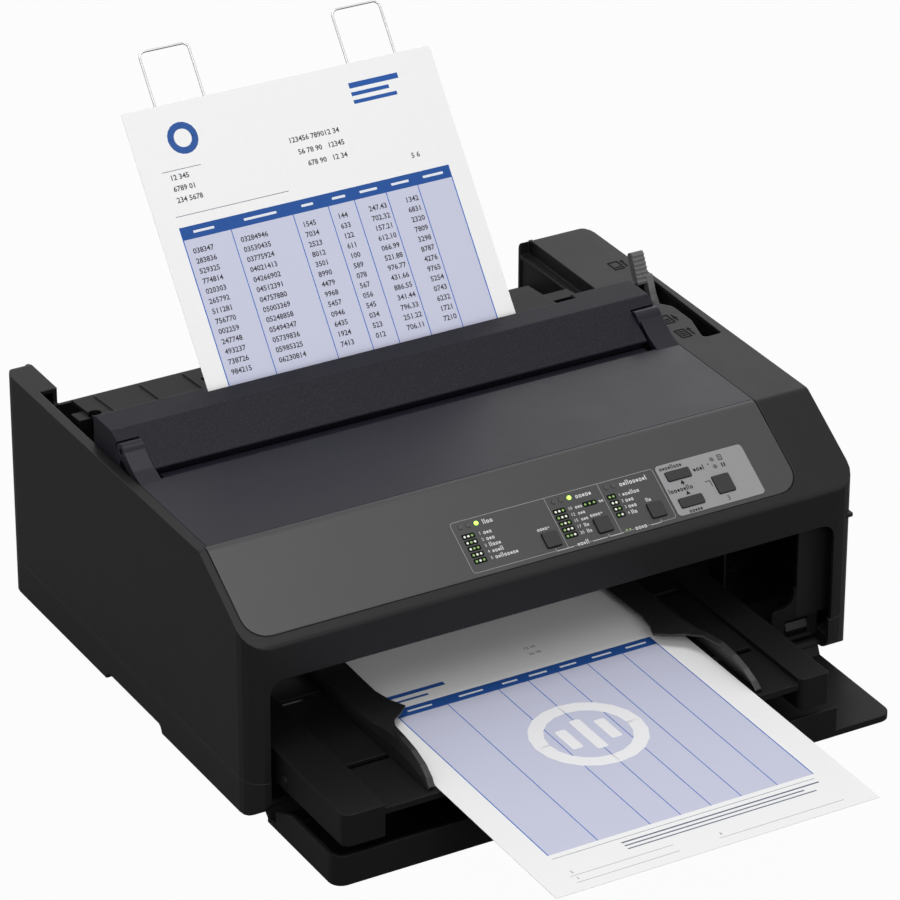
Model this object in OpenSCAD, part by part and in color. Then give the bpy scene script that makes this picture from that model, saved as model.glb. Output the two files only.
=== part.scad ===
// Desktop dot matrix printer, narrow carriage, with its lower front cover open,
// the front sheet guide drawn out, and one sheet loaded from the front and one from the rear.
// X runs to the right, Y from the front lip to the rear, Z up from the table.

/* [Case] */
// Width over the side walls
body_w = 410; // [408:1:414]
// Depth from the front lip to the rear wall
body_d = 320; // [318:1:324]
// Height of the side wall tops above the table
wall_top = 155.5; // [154.5:0.5:157]
// Height of the front lip, where the slanted panel meets the front face
lip_z = 118; // [117:0.5:119]
// Height of the rubber feet below the case
foot_h = 7; // [6.5:0.5:8]
// Height of the joint between the lower and upper case
seam_z = 29.6; // [28:0.2:31]
// Wall thickness of the mouldings
wall_t = 2.5; // [2:0.1:3]

/* [Front opening and flap] */
// Height of the top edge of the front opening
opening_top = 95.3; // [94.5:0.1:97]
// How far the open flap reaches in front of the case
flap_reach = 74.5; // [72:0.5:75]
// Height of the tray wall of the open flap
flap_wall_h = 19.6; // [18:0.2:20]
// Travel of the front sheet guide into the case while the flap closes
guide_travel = 152; // [150:1:156]

/* [Control panel] */
// How far a button stands above the panel
button_rise = 1.3; // [1:0.1:2]
// Thickness of the panel moulding
panel_t = 2; // [1.8:0.1:2.2]

/* [Paper] */
// Width of a sheet
sheet_w = 211; // [205:1:212]
// Length of a sheet
sheet_l = 297; // [290:1:300]
// Thickness of a multi-part sheet
sheet_t = 0.35; // [0.3:0.05:0.4]
// Lean of the rear sheet from the vertical
sheet_lean = 38.1; // [37:0.1:39]

/* [Mechanism] */
// Radius of the platen's rubber
platen_r = 14.9; // [14:0.1:15]
// Teeth of the platen gear
platen_teeth = 42; // [42:1:42]
// Teeth of the motor pinion
pinion_teeth = 14; // [14:1:14]
// Teeth of the idler gear
idler_teeth = 52; // [52:1:52]
// Teeth of the tractor gear
tractor_teeth = 28; // [28:1:28]
// Radius of the carriage rod
rod_r = 6; // [5:0.5:6]

/* [Hidden] */
$fn = 48;
eps = 0.01;
gap = 0.3;          // clearance between pieces of different bodies
run = 0.06;         // radial clearance of a shaft in its bore
half_w = body_w / 2;
floor_t = 3;
slope = atan((wall_top - lip_z) / 58.6);   // tilt of the control panel
bend_y = 58.6;                             // where the slant meets the flat top

// Top opening of the case
left_in = -198.5;      // inner face of the left wall
right_in = 168.5;      // left edge of the right shoulder
cover_y0 = 62;         // front edge of the printer cover
bend_r = 8;            // radius of the bend over the panel
rear_in = 317.5;       // inner face of the rear wall
hood_back = 206;       // rear edge of the raised cover
hood_top = 174;        // top of the raised cover
rear_sill = 122;       // top of the rear wall between the side blocks
ledge_z = 145.7;       // ledge inside the right rear block
block_l = -187;        // inner face of the left rear block
block_y = 280;         // front face of the left rear block

// Front opening
open_l = -191.5;
open_r = 171.5;
seat_r = 188.7;        // right edge of the flap's seat
seat_d = 12;           // depth of the flap's seat
hinge_y = 10;          // flap hinge axis
hinge_z = 9.5;
hinge_r = 1.5;
flap_l = -191;
flap_r = 184.5;
tray_r = 144.5;        // right end of the flap's tray wall

// Front sheet guide
plate_z = 44.5;        // top of the guide plate
rail_z = 48;           // top of the two rails
rail_bottom = 27.6;
guide_y0 = -78;
guide_y1 = 96;
rail_l = [-187, -160];
rail_r = [115.5, 135.5];
sheet_x0 = -124;
front_sheet_y0 = -203;

// Printer cover hinge
cover_hinge_y = 171;
cover_hinge_z = 165;
barrel_r = 5.5;
barrel_l = [-198, -184.6];
barrel_rr = [151.5, 168];

// Rear sheet: a point on it, and the directions along it and out of its back
sheet_p = [205.6, 170.6];
along = [sin(sheet_lean), cos(sheet_lean)];
behind = [cos(sheet_lean), -sin(sheet_lean)];
sheet_top = 174;       // from sheet_p up to the top edge
sheet_low = -76;       // and down to the nip
guide_hinge = [218, 156];
wire_r = 0.75;
wire_top = 209.4;      // from sheet_p up to the middle of the wire's top bar
wire_back = 4.4;       // from the sheet to the middle of the wire
wires_x = [[-98.2, -65.2], [33.1, 66.1]];

// Mechanism
frame_l = -196.5;      // outer face of the left side frame
frame_r = 147.5;       // inner face of the right side frame
frame_t = 1.5;
platen_c = [145, 118];
rod_c = [96, 112];
belt_y = 70;
pulley_r = 6;
pulley_xl = -174;
pulley_xr = 130;
belt_z = [114, 120];
pinion_a = -75;        // direction from the platen gear to the pinion
gear_gap = 0.08;
pinion_c = platen_c + ((platen_teeth + pinion_teeth) / 2 + gear_gap)
    * [cos(pinion_a), sin(pinion_a)];
tractor_c = [230, 106];
support_c = [212, 104];
// The idler meshes with both: its centre comes from the two centre distances
idler_d = (platen_teeth + idler_teeth) / 2 + gear_gap;
idler_e = (tractor_teeth + idler_teeth) / 2 + gear_gap;
span = norm(tractor_c - platen_c);
idler_bend = acos((idler_d ^ 2 + span ^ 2 - idler_e ^ 2) / (2 * idler_d * span));
to_tractor = atan2(tractor_c[1] - platen_c[1], tractor_c[0] - platen_c[0]);
idler_a = to_tractor - idler_bend;
idler_c = platen_c + idler_d * [cos(idler_a), sin(idler_a)];
gear_x = 151.5;
gear_w = 6;
knob_x1 = 219;
lever_c = [180, 70];
lever_x = 193.8;        // left face of the lever's blade
lever_head = [187.3, 195.8];   // sides of its grip

// The whole object's box, whose middle is the origin
wire_top_y = sheet_p[0] + wire_top * along[0] + wire_back * behind[0] + wire_r;
shift = [-(knob_x1 - half_w) / 2, -(front_sheet_y0 + wire_top_y) / 2, 0];

// Buttons: middle across the panel, middle up the slope, width, height up the slope
buttons = [[1.5, 18.3, 9.8, 9.8], [36.5, 18.6, 9.8, 9.8], [73, 18.7, 9.8, 9.8],
           [96.8, 36.8, 16, 6.2], [96.6, 18, 16, 6.2], [121.5, 23.4, 11.3, 12]];
// Status lamps: across the panel, up the slope
lamps = [[-38.1, 41.1], [-43.3, 41.1], [-48.4, 41.1], [24.3, 41.1], [18.9, 41.1], [14, 41.1],
         [49.6, 41], [54.4, 41], [121.9, 40.6], [121.9, 35.6]];

case_grey = [0.17, 0.17, 0.175];
panel_grey = [0.25, 0.25, 0.26];
smoke = [0.22, 0.215, 0.24];
plate_grey = [0.62, 0.62, 0.63];
steel = [0.68, 0.69, 0.7];
white = [0.93, 0.93, 0.92];
nylon = [0.85, 0.84, 0.8];
dark = [0.1, 0.1, 0.11];
board_green = [0.1, 0.33, 0.2];

// ---------------------------------------------------------------- helpers
function unit(v) = v / norm(v);
function xy(p) = [p[0], p[1]];
function turn(a) = a > 180 ? a - 360 : a < -180 ? a + 360 : a;
// The corner p1 between p0 and p2 as an arc of radius r
function corner(p0, p1, p2, r, n) = r <= 0 ? [p1] : let (
    a = unit(p0 - p1), b = unit(p2 - p1), half = acos(a * b) / 2,
    c = p1 + unit(a + b) * r / sin(half), s = p1 + a * r / tan(half) - c,
    e = p1 + b * r / tan(half) - c, a0 = atan2(s[1], s[0]),
    sweep = turn(atan2(e[1], e[0]) - a0))
    [for (i = [0:n]) c + r * [cos(a0 + sweep * i / n), sin(a0 + sweep * i / n)]];
// An outline of points [x, y, radius] with its corners rounded
function rounded(pts, n = 5) = [for (i = [0:len(pts) - 1]) each corner(
    xy(pts[(i + len(pts) - 1) % len(pts)]), xy(pts[i]), xy(pts[(i + 1) % len(pts)]),
    pts[i][2], n)];
function rect(lo, hi, r) = rounded([[lo[0], lo[1], r], [hi[0], lo[1], r],
                                    [hi[0], hi[1], r], [lo[0], hi[1], r]]);

module place() translate(shift) children();
module box(lo, hi) translate(lo) cube(hi - lo);
// A (Y, Z) outline drawn out along X
module along_x(x0, x1) translate([x0, 0, 0]) rotate([90, 0, 90]) linear_extrude(x1 - x0) children();
// An (X, Z) outline drawn out along Y
module along_y(y0, y1) translate([0, y1, 0]) rotate([90, 0, 0]) linear_extrude(y1 - y0) children();
module rod_x(c, r, x0, x1) translate([x0, c[0], c[1]]) rotate([0, 90, 0]) cylinder(r = r, h = x1 - x0);
// Children drawn in the plane of the slanted panel: x across, y up the slope, z out of it
module on_slope() translate([0, 0, lip_z]) rotate([slope, 0, 0]) children();
// Children drawn along the rear sheet: x across, y up the sheet, z out of its back
module on_sheet() translate([0, sheet_p[0], sheet_p[1]]) rotate([90 - sheet_lean, 0, 0])
    mirror([0, 0, 1]) children();

// ---------------------------------------------------------------- case
module plan(inset = 0, r = 14) polygon(rect([-half_w + inset, inset],
    [half_w - inset, body_d - inset], max(r - inset, 1)));
module side_profile() polygon(rounded([[0, foot_h, 10], [0, lip_z, 3.5],
    [bend_y, wall_top, bend_r], [body_d, wall_top, 6], [body_d, foot_h, 7]]));
module inner_profile() polygon(rounded([[wall_t, foot_h + floor_t, 8], [wall_t, lip_z - 3.6, 1],
    [bend_y + 2.6, wall_top - 5, 5], [right_in, wall_top - 3, 0.5], [rear_in, wall_top - 3, 3],
    [rear_in, foot_h + floor_t, 4]]));
module case_block(z0, z1) intersection() {
    translate([0, 0, z0]) linear_extrude(z1 - z0) plan();
    along_x(-half_w - 1, half_w + 1) side_profile();
}
module case_hollow(z0, z1) intersection() {
    translate([0, 0, z0]) linear_extrude(z1 - z0) plan(wall_t);
    along_x(-half_w, half_w) inner_profile();
}
// The front opening, and the seat that the closed flap fits
module front_opening() {
    along_y(-1, 60) polygon(rounded([[open_l, -5, 0], [open_r, -5, 0],
        [open_r, opening_top, 9], [open_l, opening_top, 9]]));
    along_y(-1, seat_d) polygon(rounded([[open_l, -5, 0], [seat_r, -5, 0],
        [seat_r, opening_top, 9], [open_l, opening_top, 9]]));
}
// The panel's outline in the plane of the slope
module panel_outline(inset) polygon(rounded([[-200.4 + inset, 6.8 + inset, 14],
    [168.4 - inset, 6.8 + inset, 14], [168.4 - inset, 90, 0], [-200.4 + inset, 90, 0]]));
// A line at depth d under the slant and the flat top, from y0 back to the cover
function surface_line(d, y0) = let (y1 = bend_y + d * (1 / cos(slope) - 1) / tan(slope),
    start = [y0, lip_z + y0 * tan(slope) - d / cos(slope)], end = [cover_y0 - gap, wall_top - d])
    concat([start], corner(start, [y1, wall_top - d], end, bend_r - d, 6), [end]);
function backwards(v) = [for (i = [len(v) - 1:-1:0]) v[i]];
// The layer between two depths under the slant and the bend
module skin(d0, d1, y0 = -12) along_x(-half_w, half_w)
    polygon(concat(surface_line(d0, y0), backwards(surface_line(d1, y0))));
module panel_recess() intersection() {
    skin(-3, panel_t, 0);
    on_slope() translate([0, 0, -20]) linear_extrude(60) panel_outline(0);
}
// Opening under the covers and over the rear of the mechanism
module top_opening() {
    translate([0, 0, ledge_z]) linear_extrude(20) polygon([[left_in, cover_y0 - 0.3],
        [right_in, cover_y0 - 0.3], [right_in, hood_back + 2], [163.5, hood_back + 2],
        [163.5, rear_in], [157, rear_in], [157, body_d + 1], [block_l, body_d + 1],
        [block_l, block_y], [left_in, block_y]]);
    box([block_l, rear_in - 1, rear_sill], [157, body_d + 1, 200]);
}
module hand_grips() for (s = [-1, 1])
    along_x(s > 0 ? half_w - 16 : -half_w - 1, s > 0 ? half_w + 1 : -half_w + 16)
        polygon(rounded([[109, -1, 0], [190, -1, 0], [184, 12, 4], [115, 12, 4]]));

module lower_case() color(case_grey) {
    difference() {
        union() {
            difference() {
                case_block(foot_h, seam_z);
                case_hollow(foot_h + floor_t, seam_z + 1);
            }
            // Ears that carry the flap's pins
            intersection() {
                for (x = [[-202.7, open_l - 0.2], [seat_r - 1.5, 202.7]])
                    box([x[0], 2, foot_h], [x[1], 16, 18]);
                case_block(foot_h, seam_z);
            }
            // Roofs of the two hand grips
            for (x = [[-202.7, -187.5], [187.5, 202.7]])
                box([x[0], 107, foot_h], [x[1], 192, 14.5]);
            // Ribs across the floor, and board posts
            for (y = [56, 246]) box([-158, y, foot_h + floor_t], [113, y + 2, 13.6]);
            for (x = [-140, 50], y = [66, 220])
                translate([x, y, foot_h + floor_t - eps]) cylinder(r = 4, h = 3.6 + eps);
        }
        box([open_l, -1, -1], [seat_r - 1.5, 14.5, seam_z + 1]);
        box([open_l, 0, foot_h + floor_t], [open_r, 40, seam_z + 1]);
        hand_grips();
        rod_x([hinge_y, hinge_z], hinge_r + run, -196, 192);
        // Cooling slots in the floor under the board, and seats of the feet
        for (i = [0:11]) box([-130 + i * 14, 120, 0], [-127 + i * 14, 200, 20]);
        for (x = [-170, 170], y = [40, 290])
            translate([x, y, foot_h - 1]) cylinder(r = 9, h = 2);
    }
}
module upper_case() color(case_grey) {
    // Rests of the printer cover
    for (x = [[left_in - 1, left_in + 6], [right_in - 6, right_in + 1]])
        box([x[0], 90, 147], [x[1], 104, wall_top - 6]);
    case_shell();
}
module case_shell() difference() {
    union() {
        difference() {
            case_block(seam_z, wall_top + 1);
            case_hollow(seam_z - 1, wall_top + 1);
        }
        // Wall behind the flap's seat, and the beam over the opening
        box([open_r, seat_d, seam_z], [202.7, seat_d + wall_t, 112]);
        box([open_l - 1, 2, opening_top], [202.7, 14, opening_top + wall_t]);
        box([open_l - 1, 2, seam_z], [open_l, 14, opening_top]);
        // Deck under the panel's recess
        intersection() {
            skin(panel_t, panel_t + 2.2, 0);
            case_block(60, wall_top);
        }
        // Inner walls of the shoulder and of the two rear blocks
        box([right_in, cover_y0 - 3, 124], [right_in + wall_t, hood_back + 4, wall_top - 1]);
        box([163.5, hood_back + 2, ledge_z - wall_t], [166, rear_in + 1, wall_top - 1]);
        box([157, hood_back + 2, ledge_z - wall_t], [right_in + 1, rear_in + 1, ledge_z]);
        box([158, hood_back + 2, 112], [158 + wall_t, rear_in + 1, ledge_z]);
        box([-203, block_y - wall_t, 112], [block_l, block_y, wall_top - 1]);
        box([block_l - wall_t, block_y - wall_t, 112], [block_l, rear_in + 1, wall_top - 1]);
        // Ledges that carry the raised cover
        box([-203, 192, ledge_z - wall_t], [-190, hood_back, ledge_z]);
        box([158, 180, ledge_z - wall_t], [right_in + 1, hood_back + 3, ledge_z]);
        // Top lip along the inside of the left wall
        box([-203, cover_y0, 148], [left_in, block_y, wall_top - 1]);
    }
    front_opening();
    panel_recess();
    top_opening();
    on_slope() translate([0, 0, -20]) linear_extrude(40) polygon(rect([-56, 10], [146, 47], 2));
    // Slot of the release lever, widening to the front
    translate([0, 0, 140]) linear_extrude(30) polygon(rounded([[186.5, 200, 3], [192.5, 192, 6],
        [192.5, 170, 8], [186, 146, 3], [199.5, 146, 2], [201.5, 230, 2], [186.5, 230, 2]]));
    // Way out for the platen's shaft, and the rear sockets
    rod_x(platen_c, 8, 200, half_w + 1);
    along_y(rear_in - 1, body_d + 1) {
        polygon(rect([-150, 36], [-122, 58], 1));
        polygon(rect([22, 40], [84, 54], 2));
        polygon(rect([92, 41], [106, 54], 1));
    }
    // Cooling slots of the rear wall
    for (i = [0:9]) along_y(rear_in - 1, body_d + 1)
        polygon(rect([-110 + i * 10, 66], [-106 + i * 10, 96], 1.8));
}
module rubber_feet() color(dark) for (x = [-170, 170], y = [40, 290]) translate([x, y, 0])
    rotate_extrude() polygon([[0, 0], [7.5, 0], [8.8, 1.2], [8.8, foot_h + 1], [0, foot_h + 1]]);

// ---------------------------------------------------------------- control panel
module button_hole(b, grow) translate([b[0] - b[2] / 2 - grow, b[1] - b[3] / 2 - grow])
    polygon(rect([0, 0], [b[2] + 2 * grow, b[3] + 2 * grow], 1));
bezel_outline = [[84.4, 10.4, 2.5], [144.4, 10.4, 2.5], [144.4, 45.6, 2.5], [84.4, 45.6, 2.5]];
module control_panel() color(panel_grey) difference() {
    intersection() {
        skin(0, panel_t, 2);
        on_slope() translate([0, 0, -20]) linear_extrude(60) panel_outline(0.8);
    }
    on_slope() {
        translate([0, 0, -20]) linear_extrude(40) for (b = buttons) button_hole(b, gap);
        for (l = lamps) translate([l[0], l[1], -20]) cylinder(r = 1.45, h = 40);
        translate([0, 0, -0.5]) linear_extrude(20) polygon(rounded(bezel_outline));
    }
}
module button_bezel() color(plate_grey) on_slope() difference() {
    translate([0, 0, -0.5]) linear_extrude(0.8) polygon(rounded(bezel_outline));
    translate([0, 0, -2]) linear_extrude(4) for (b = buttons) button_hole(b, gap);
    for (l = lamps) translate([l[0], l[1], -2]) cylinder(r = 1.45, h = 4);
}
module status_lamps() color("yellowgreen") on_slope() for (l = lamps)
    translate([l[0], l[1], -7]) cylinder(r = 1.4, h = 7.35);
module panel_board() color(board_green) on_slope() difference() {
    union() {
        translate([-63, 11.5, -8.6]) cube([216, 34, 1.6]);
        // Spacers up to the deck
        for (x = [-59.5, 149.5], y = [16, 41]) translate([x, y, -8])
            cylinder(r = 2.8, h = y < 20 ? 3.25 : 2.8);
    }
    for (x = [-59.5, 149.5]) translate([x, 28, -10]) cylinder(r = 1.6, h = 4);
}
// A push button: its cap through the panel, a flange that stops it, and its stem
module push_button(i) color(i < 3 ? panel_grey : case_grey) on_slope() let (b = buttons[i]) {
    translate([b[0], b[1], -4]) linear_extrude(4 + button_rise)
        polygon(rect([-b[2] / 2, -b[3] / 2], [b[2] / 2, b[3] / 2], 1));
    translate([b[0], b[1], -3.6]) linear_extrude(1.2)
        polygon(rect([-b[2] / 2 - 1, -b[3] / 2 - 0.8], [b[2] / 2 + 1, b[3] / 2 + 0.8], 1));
    translate([b[0], b[1], -5.4]) cylinder(r = 2, h = 2);
}

// ---------------------------------------------------------------- covers
module cover_arm(x0, x1, bx0, bx1) difference() {
    union() {
        along_x(x0, x1) polygon([[140, 153], [145, wall_top], [155, 159.4], [161.5, 163.6],
            [167.6, 168.2], [171, 161.4], [164, 157], [150, 153]]);
        rod_x([cover_hinge_y, cover_hinge_z], barrel_r, bx0, bx1);
    }
    rod_x([cover_hinge_y, cover_hinge_z], 2 + run, x0 - 5, x1 + 5);
}
module printer_cover() color(smoke) {
    difference() {
        union() {
            box([left_in + gap, cover_y0, wall_top - wall_t], [right_in - gap, 147, wall_top]);
            // Rib round the underside
            for (y = [64, 142]) box([left_in + 4, y, wall_top - 6], [right_in - 4, y + 1.6, 153.1]);
            for (x = [left_in + 4, right_in - 5.6])
                box([x, 64, wall_top - 6], [x + 1.6, 143.6, 153.1]);
        }
        // Finger notch at the middle of the front edge
        translate([-18, cover_y0 - 4, 150]) cylinder(r = 9, h = 4.2);
    }
    // Lower strip of the rear edge, which runs on under the hood's lip
    along_x(-181, 148.5) polygon([[146, 153], [146, 154.4], [154.8, 153.9], [155.6, 152.4],
        [150, 152.2]]);
    cover_arm(left_in + gap, barrel_l[1], barrel_l[0], barrel_l[1]);
    cover_arm(153, right_in - gap, barrel_rr[0], barrel_rr[1]);
}
hood_profile = [[153.7, 157.9, 1], [182, hood_top, 3], [hood_back, hood_top, 2],
                [hood_back, ledge_z, 0], [180, ledge_z, 0], [162, 153.8, 0]];
hood_inner = [[157.5, 156.6, 0.5], [182.6, hood_top - 2.6, 1], [hood_back + 1, hood_top - 2.6, 0],
              [hood_back + 1, 140, 0], [150, 140, 0]];
module hood_cover() color(smoke) {
    difference() {
        along_x(left_in + gap, right_in - gap) polygon(rounded(hood_profile));
        along_x(-182, 149.5) polygon(rounded(hood_inner));
        // Room for the cover's arms and barrels
        for (x = [[-200, -184], [151, 170]]) along_x(x[0], x[1]) {
            polygon([[140, 140], [140, 190], [172.9, 190], [172.9, 140]]);
            translate([cover_hinge_y, cover_hinge_z]) circle(r = barrel_r + 1.1);
        }
        // Hollow ends
        for (x = [[-196, -184], [151, 166]]) box([x[0], 178.5, 147], [x[1], hood_back + 1, 171.4]);
        // Paper way in the rear edge
        box([-127, 199, 140], [127, 215, 180]);
    }
    // Baffle behind the lip
    along_x(-182.5, 150) polygon([[156.4, 156.9], [158.2, 157.2], [161.6, 151.2], [160.2, 150.6]]);
    // Ribs that hold the sheet away from the slanted front
    for (x = [-150, -90, -30, 30, 90]) along_x(x, x + 2)
        polygon([[172, 164.6], [182.6, 171.4], [196, 171.4], [196, 168], [184, 166]]);
    // Studs in the barrels
    rod_x([cover_hinge_y, cover_hinge_z], 2, -196, -183.9);
    rod_x([cover_hinge_y, cover_hinge_z], 2, 150.9, 166);
}

// ---------------------------------------------------------------- rear guides and sheets
base_x = [-187.3, 128];      // ends of the rear plate
guide_x = [-113, 76];        // sides of the upright sheet guide
guide_legs = [-108, 71];     // left faces of its two legs
leg_t = 3.8;
module rear_guide_base() color(case_grey) {
    rear_plate();
    // Ears of the sheet guide's hinge
    for (x = guide_legs) along_x(x + leg_t + 0.3, x + leg_t + 4.3) difference() {
        polygon(rounded([[212.5, 152, 3], [226, 150, 1], [226, 158, 1], [220, 161, 2],
            [212.5, 160, 3]]));
        translate(guide_hinge) circle(r = 2 + run);
    }
}
module rear_plate() difference() {
    union() {
        along_x(base_x[0], base_x[1]) polygon(rounded([[222, 157.2, 0], [222, 159.8, 1],
            [259.5, 156.6, 1], [259.5, 152, 0.5], [257.4, 152, 0], [257.4, 154.2, 0]]));
        for (x = [-174, -144, -115, -85, -55, -25, 5, 35, 65, 95]) along_x(x, x + 1.6)
            polygon([[222, 157], [222, 160.5], [254, 157.9], [259, 156.5], [257, 153]]);
        // Beam between the side frames
        along_x(-195, frame_r) polygon([[232, 143], [244, 143], [244, 156], [232, 157]]);
    }
    // Notches that the sheet guide's legs swing into
    for (x = guide_legs) box([x - 0.6, 221, 148], [x + leg_t + 0.3, 244.5, 170]);
    translate([-184, 234, 140]) cylinder(r = 4, h = 30);
}
module wire_channel(x) for (dx = [0, 33], y = [40, 96]) translate([x + dx - 2.5, y, 2.9])
    difference() {
        cube([5, 12, 3.4]);
        translate([2.5, -1, wire_back - 2.9]) rotate([-90, 0, 0]) cylinder(r = wire_r + run, h = 14);
    }
module rear_sheet_guide() color(case_grey) {
    on_sheet() {
        translate([0, 0, 0.8]) linear_extrude(2.2) polygon(rounded([[guide_x[0], 18, 4],
            [guide_x[1], 18, 4], [guide_x[1], 150, 12], [guide_x[0], 150, 12]]));
        for (w = wires_x) wire_channel(w[0]);
        // Stiffening ribs on the back
        for (x = [guide_x[0] + 4, -52, 14.4, guide_x[1] - 5.6])
            translate([x, 22, 2.9]) cube([1.6, 120, 3]);
    }
    // Legs down to the hinge, with their pins
    for (x = guide_legs) {
        along_x(x, x + leg_t) polygon(rounded([[213.5, 158.5, 2.5], [214.5, 152.5, 3],
            [221.5, 153, 3], [224, 162, 2], [236, 178, 1], [232, 199.5, 0], [217, 180, 0]]));
        rod_x(guide_hinge, 2, x + leg_t - 0.2, x + leg_t + 4.4);
    }
}
// A wire loop: two legs, a top bar and two round corners
module wire_support(i) color(steel) on_sheet() let (w = wires_x[i], r = 4, low = 36) {
    for (x = w) translate([x, low, wire_back]) rotate([-90, 0, 0])
        cylinder(r = wire_r, h = wire_top - r - low, $fn = 20);
    translate([w[0] + r, wire_top, wire_back]) rotate([0, 90, 0])
        cylinder(r = wire_r, h = w[1] - w[0] - 2 * r, $fn = 20);
    translate([w[0] + r, wire_top - r, wire_back]) rotate([0, 0, 90])
        rotate_extrude(angle = 90, $fn = 32) translate([r, 0]) circle(r = wire_r, $fn = 20);
    translate([w[1] - r, wire_top - r, wire_back])
        rotate_extrude(angle = 90, $fn = 32) translate([r, 0]) circle(r = wire_r, $fn = 20);
}
module rear_sheet() color(white) on_sheet() translate([sheet_x0 + 1, sheet_low, 0])
    cube([sheet_w, sheet_top - sheet_low, sheet_t]);
module front_sheet() color(white)
    box([sheet_x0, front_sheet_y0, plate_z + gap],
        [sheet_x0 + sheet_w, front_sheet_y0 + sheet_l, plate_z + gap + sheet_t]);

// ---------------------------------------------------------------- flap and front guide
module front_flap() color(case_grey) {
    difference() {
        union() {
            // Plate with rounded front corners, and its tray walls
            linear_extrude(4) polygon(rounded([[flap_l, -flap_reach, 8], [flap_r, -flap_reach, 8],
                [flap_r, 6.5, 0], [flap_l, 6.5, 0]]));
            intersection() {
                linear_extrude(flap_wall_h) difference() {
                    polygon(rounded([[flap_l, -flap_reach, 8], [tray_r, -flap_reach, 0.5],
                        [tray_r, -3, 0.5], [flap_l, -3, 0.5]]));
                    polygon(rounded([[flap_l + 2.5, -flap_reach + 2.5, 5.5],
                        [tray_r + 1, -flap_reach + 2.5, 0], [tray_r + 1, -2, 0],
                        [flap_l + 2.5, -2, 0]]));
                }
                along_x(-half_w, half_w) polygon([[-flap_reach - 1, 0],
                    [-flap_reach - 1, flap_wall_h], [-22, flap_wall_h], [-3, 12], [-3, 0]]);
            }
            // Hinge barrel
            rod_x([hinge_y, hinge_z], 3.6, flap_l + 0.3, flap_r);
            along_x(flap_l + 0.3, flap_r) polygon([[0, 0], [4.5, 0], [12.4, 7], [8, 12.6], [4, 4]]);
        }
        // Shallow bays in the plate's inside
        for (x = [-180, -95, -10]) box([x, -66, 2.4], [x + 75, -8, 5]);
    }
    // Hinge pins, into the case's ears
    rod_x([hinge_y, hinge_z], hinge_r, -195.5, flap_l + 1);
    rod_x([hinge_y, hinge_z], hinge_r, flap_r - 1, 191.5);
}
module guide_rail(x) difference() {
    translate([0, 0, rail_bottom]) linear_extrude(rail_z - rail_bottom) polygon(rounded(
        [[x[0], guide_y0, 5], [x[1], guide_y0, 1.5], [x[1], guide_y1, 2], [x[0], guide_y1, 2]]));
    box([x[0] + 2, guide_y0 + 2, rail_bottom - 1], [x[1] - 2, guide_y1 + 1, rail_z - 2]);
}
module front_sheet_guide() color(case_grey) {
    guide_rail(rail_l);
    guide_rail(rail_r);
    difference() {
        box([rail_l[1] - eps, guide_y0 + 2, plate_z - 4], [rail_r[0] + eps, guide_y1, plate_z]);
        // Slots of the two edge guides
        for (x = [[-158, -121], [81, 113]], y = [-30, 50])
            box([x[0], y, plate_z - 5], [x[1], y + 5, plate_z + 1]);
        // Grooves across the plate
        for (x = [-118, -84, -50, -16, 18, 52]) box([x, guide_y0 + 8, plate_z - 0.8],
            [x + 1.5, guide_y1 + 1, plate_z + 1]);
        box([-162, guide_y0 + 10, plate_z - 5], [118, guide_y1 - 10, plate_z - 2.4]);
    }
    // Guide roller on the outside of the left rail
    rod_x([-8, 34], 3, rail_l[0] - 1.2, rail_l[0] + 1);
}
// An edge guide: a fin beside the sheet whose top curls over the sheet's edge.
// Stations run from the nose to the rear: Y, height of the fin, reach of the curl
stations = [[-72, 2, 0.6], [-68, 6, 1], [-60, 10, 1.6], [-48, 13.2, 2], [-34, 14.6, 2.4],
            [-20, 13.4, 4], [-10, 11, 9], [-4, 9.4, 16], [4, 8.4, 24], [14, 7.8, 20],
            [28, 7.4, 17.5], [50, 7, 18], [90, 7, 19]];
// One cross-section, outside going up and over, then back along the inside
function guide_section(s) = let (h = s[1], w = s[2], t = 1.2)
    [[0, 0], [0.4, h * 0.5], [min(2, w), h * 0.88], [min(5, w + 0.5), h], [4 + w, h - 0.4],
     [4 + w, h - 0.4 - t], [min(5, w + 1.2), h - t], [min(2, w) + t, h * 0.88 - 0.6],
     [0.4 + t, h * 0.5], [t + 0.6, 0]];
module edge_loft(sgn) {
    n = 10;
    m = len(stations);
    pts = [for (s = stations, p = guide_section(s)) [sgn * p[0], s[0], p[1]]];
    side = [for (i = [0:m - 2], j = [0:n - 1]) let (a = i * n + j, b = i * n + (j + 1) % n)
        each [[a, b, b + n], [a, b + n, a + n]]];
    front = [for (j = [1:n - 2]) [0, j + 1, j]];
    back = [for (j = [1:n - 2]) (m - 1) * n * [1, 1, 1] + [0, j, j + 1]];
    faces = concat(side, front, back);
    polyhedron(pts, sgn > 0 ? [for (f = faces) [f[2], f[1], f[0]]] : faces);
}
module edge_guide(x, sgn) {
    translate([x, 0, plate_z + gap - 0.05]) edge_loft(sgn);
    // Feet in the plate's slots, with their retaining heads
    for (y = [-29.6, 50.4]) {
        box([min(x, x + sgn * 5), y, plate_z - 4.6], [max(x, x + sgn * 5), y + 4.2, plate_z + 0.4]);
        box([min(x - 2, x + sgn * 5 - 2), y - 2, plate_z - 6.4],
            [max(x + 2, x + sgn * 5 + 2), y + 6.2, plate_z - 4.4]);
    }
}
module left_edge_guide() color(case_grey) edge_guide(-130, 1);
module right_edge_guide() color(case_grey) edge_guide(92.8, -1);
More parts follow.
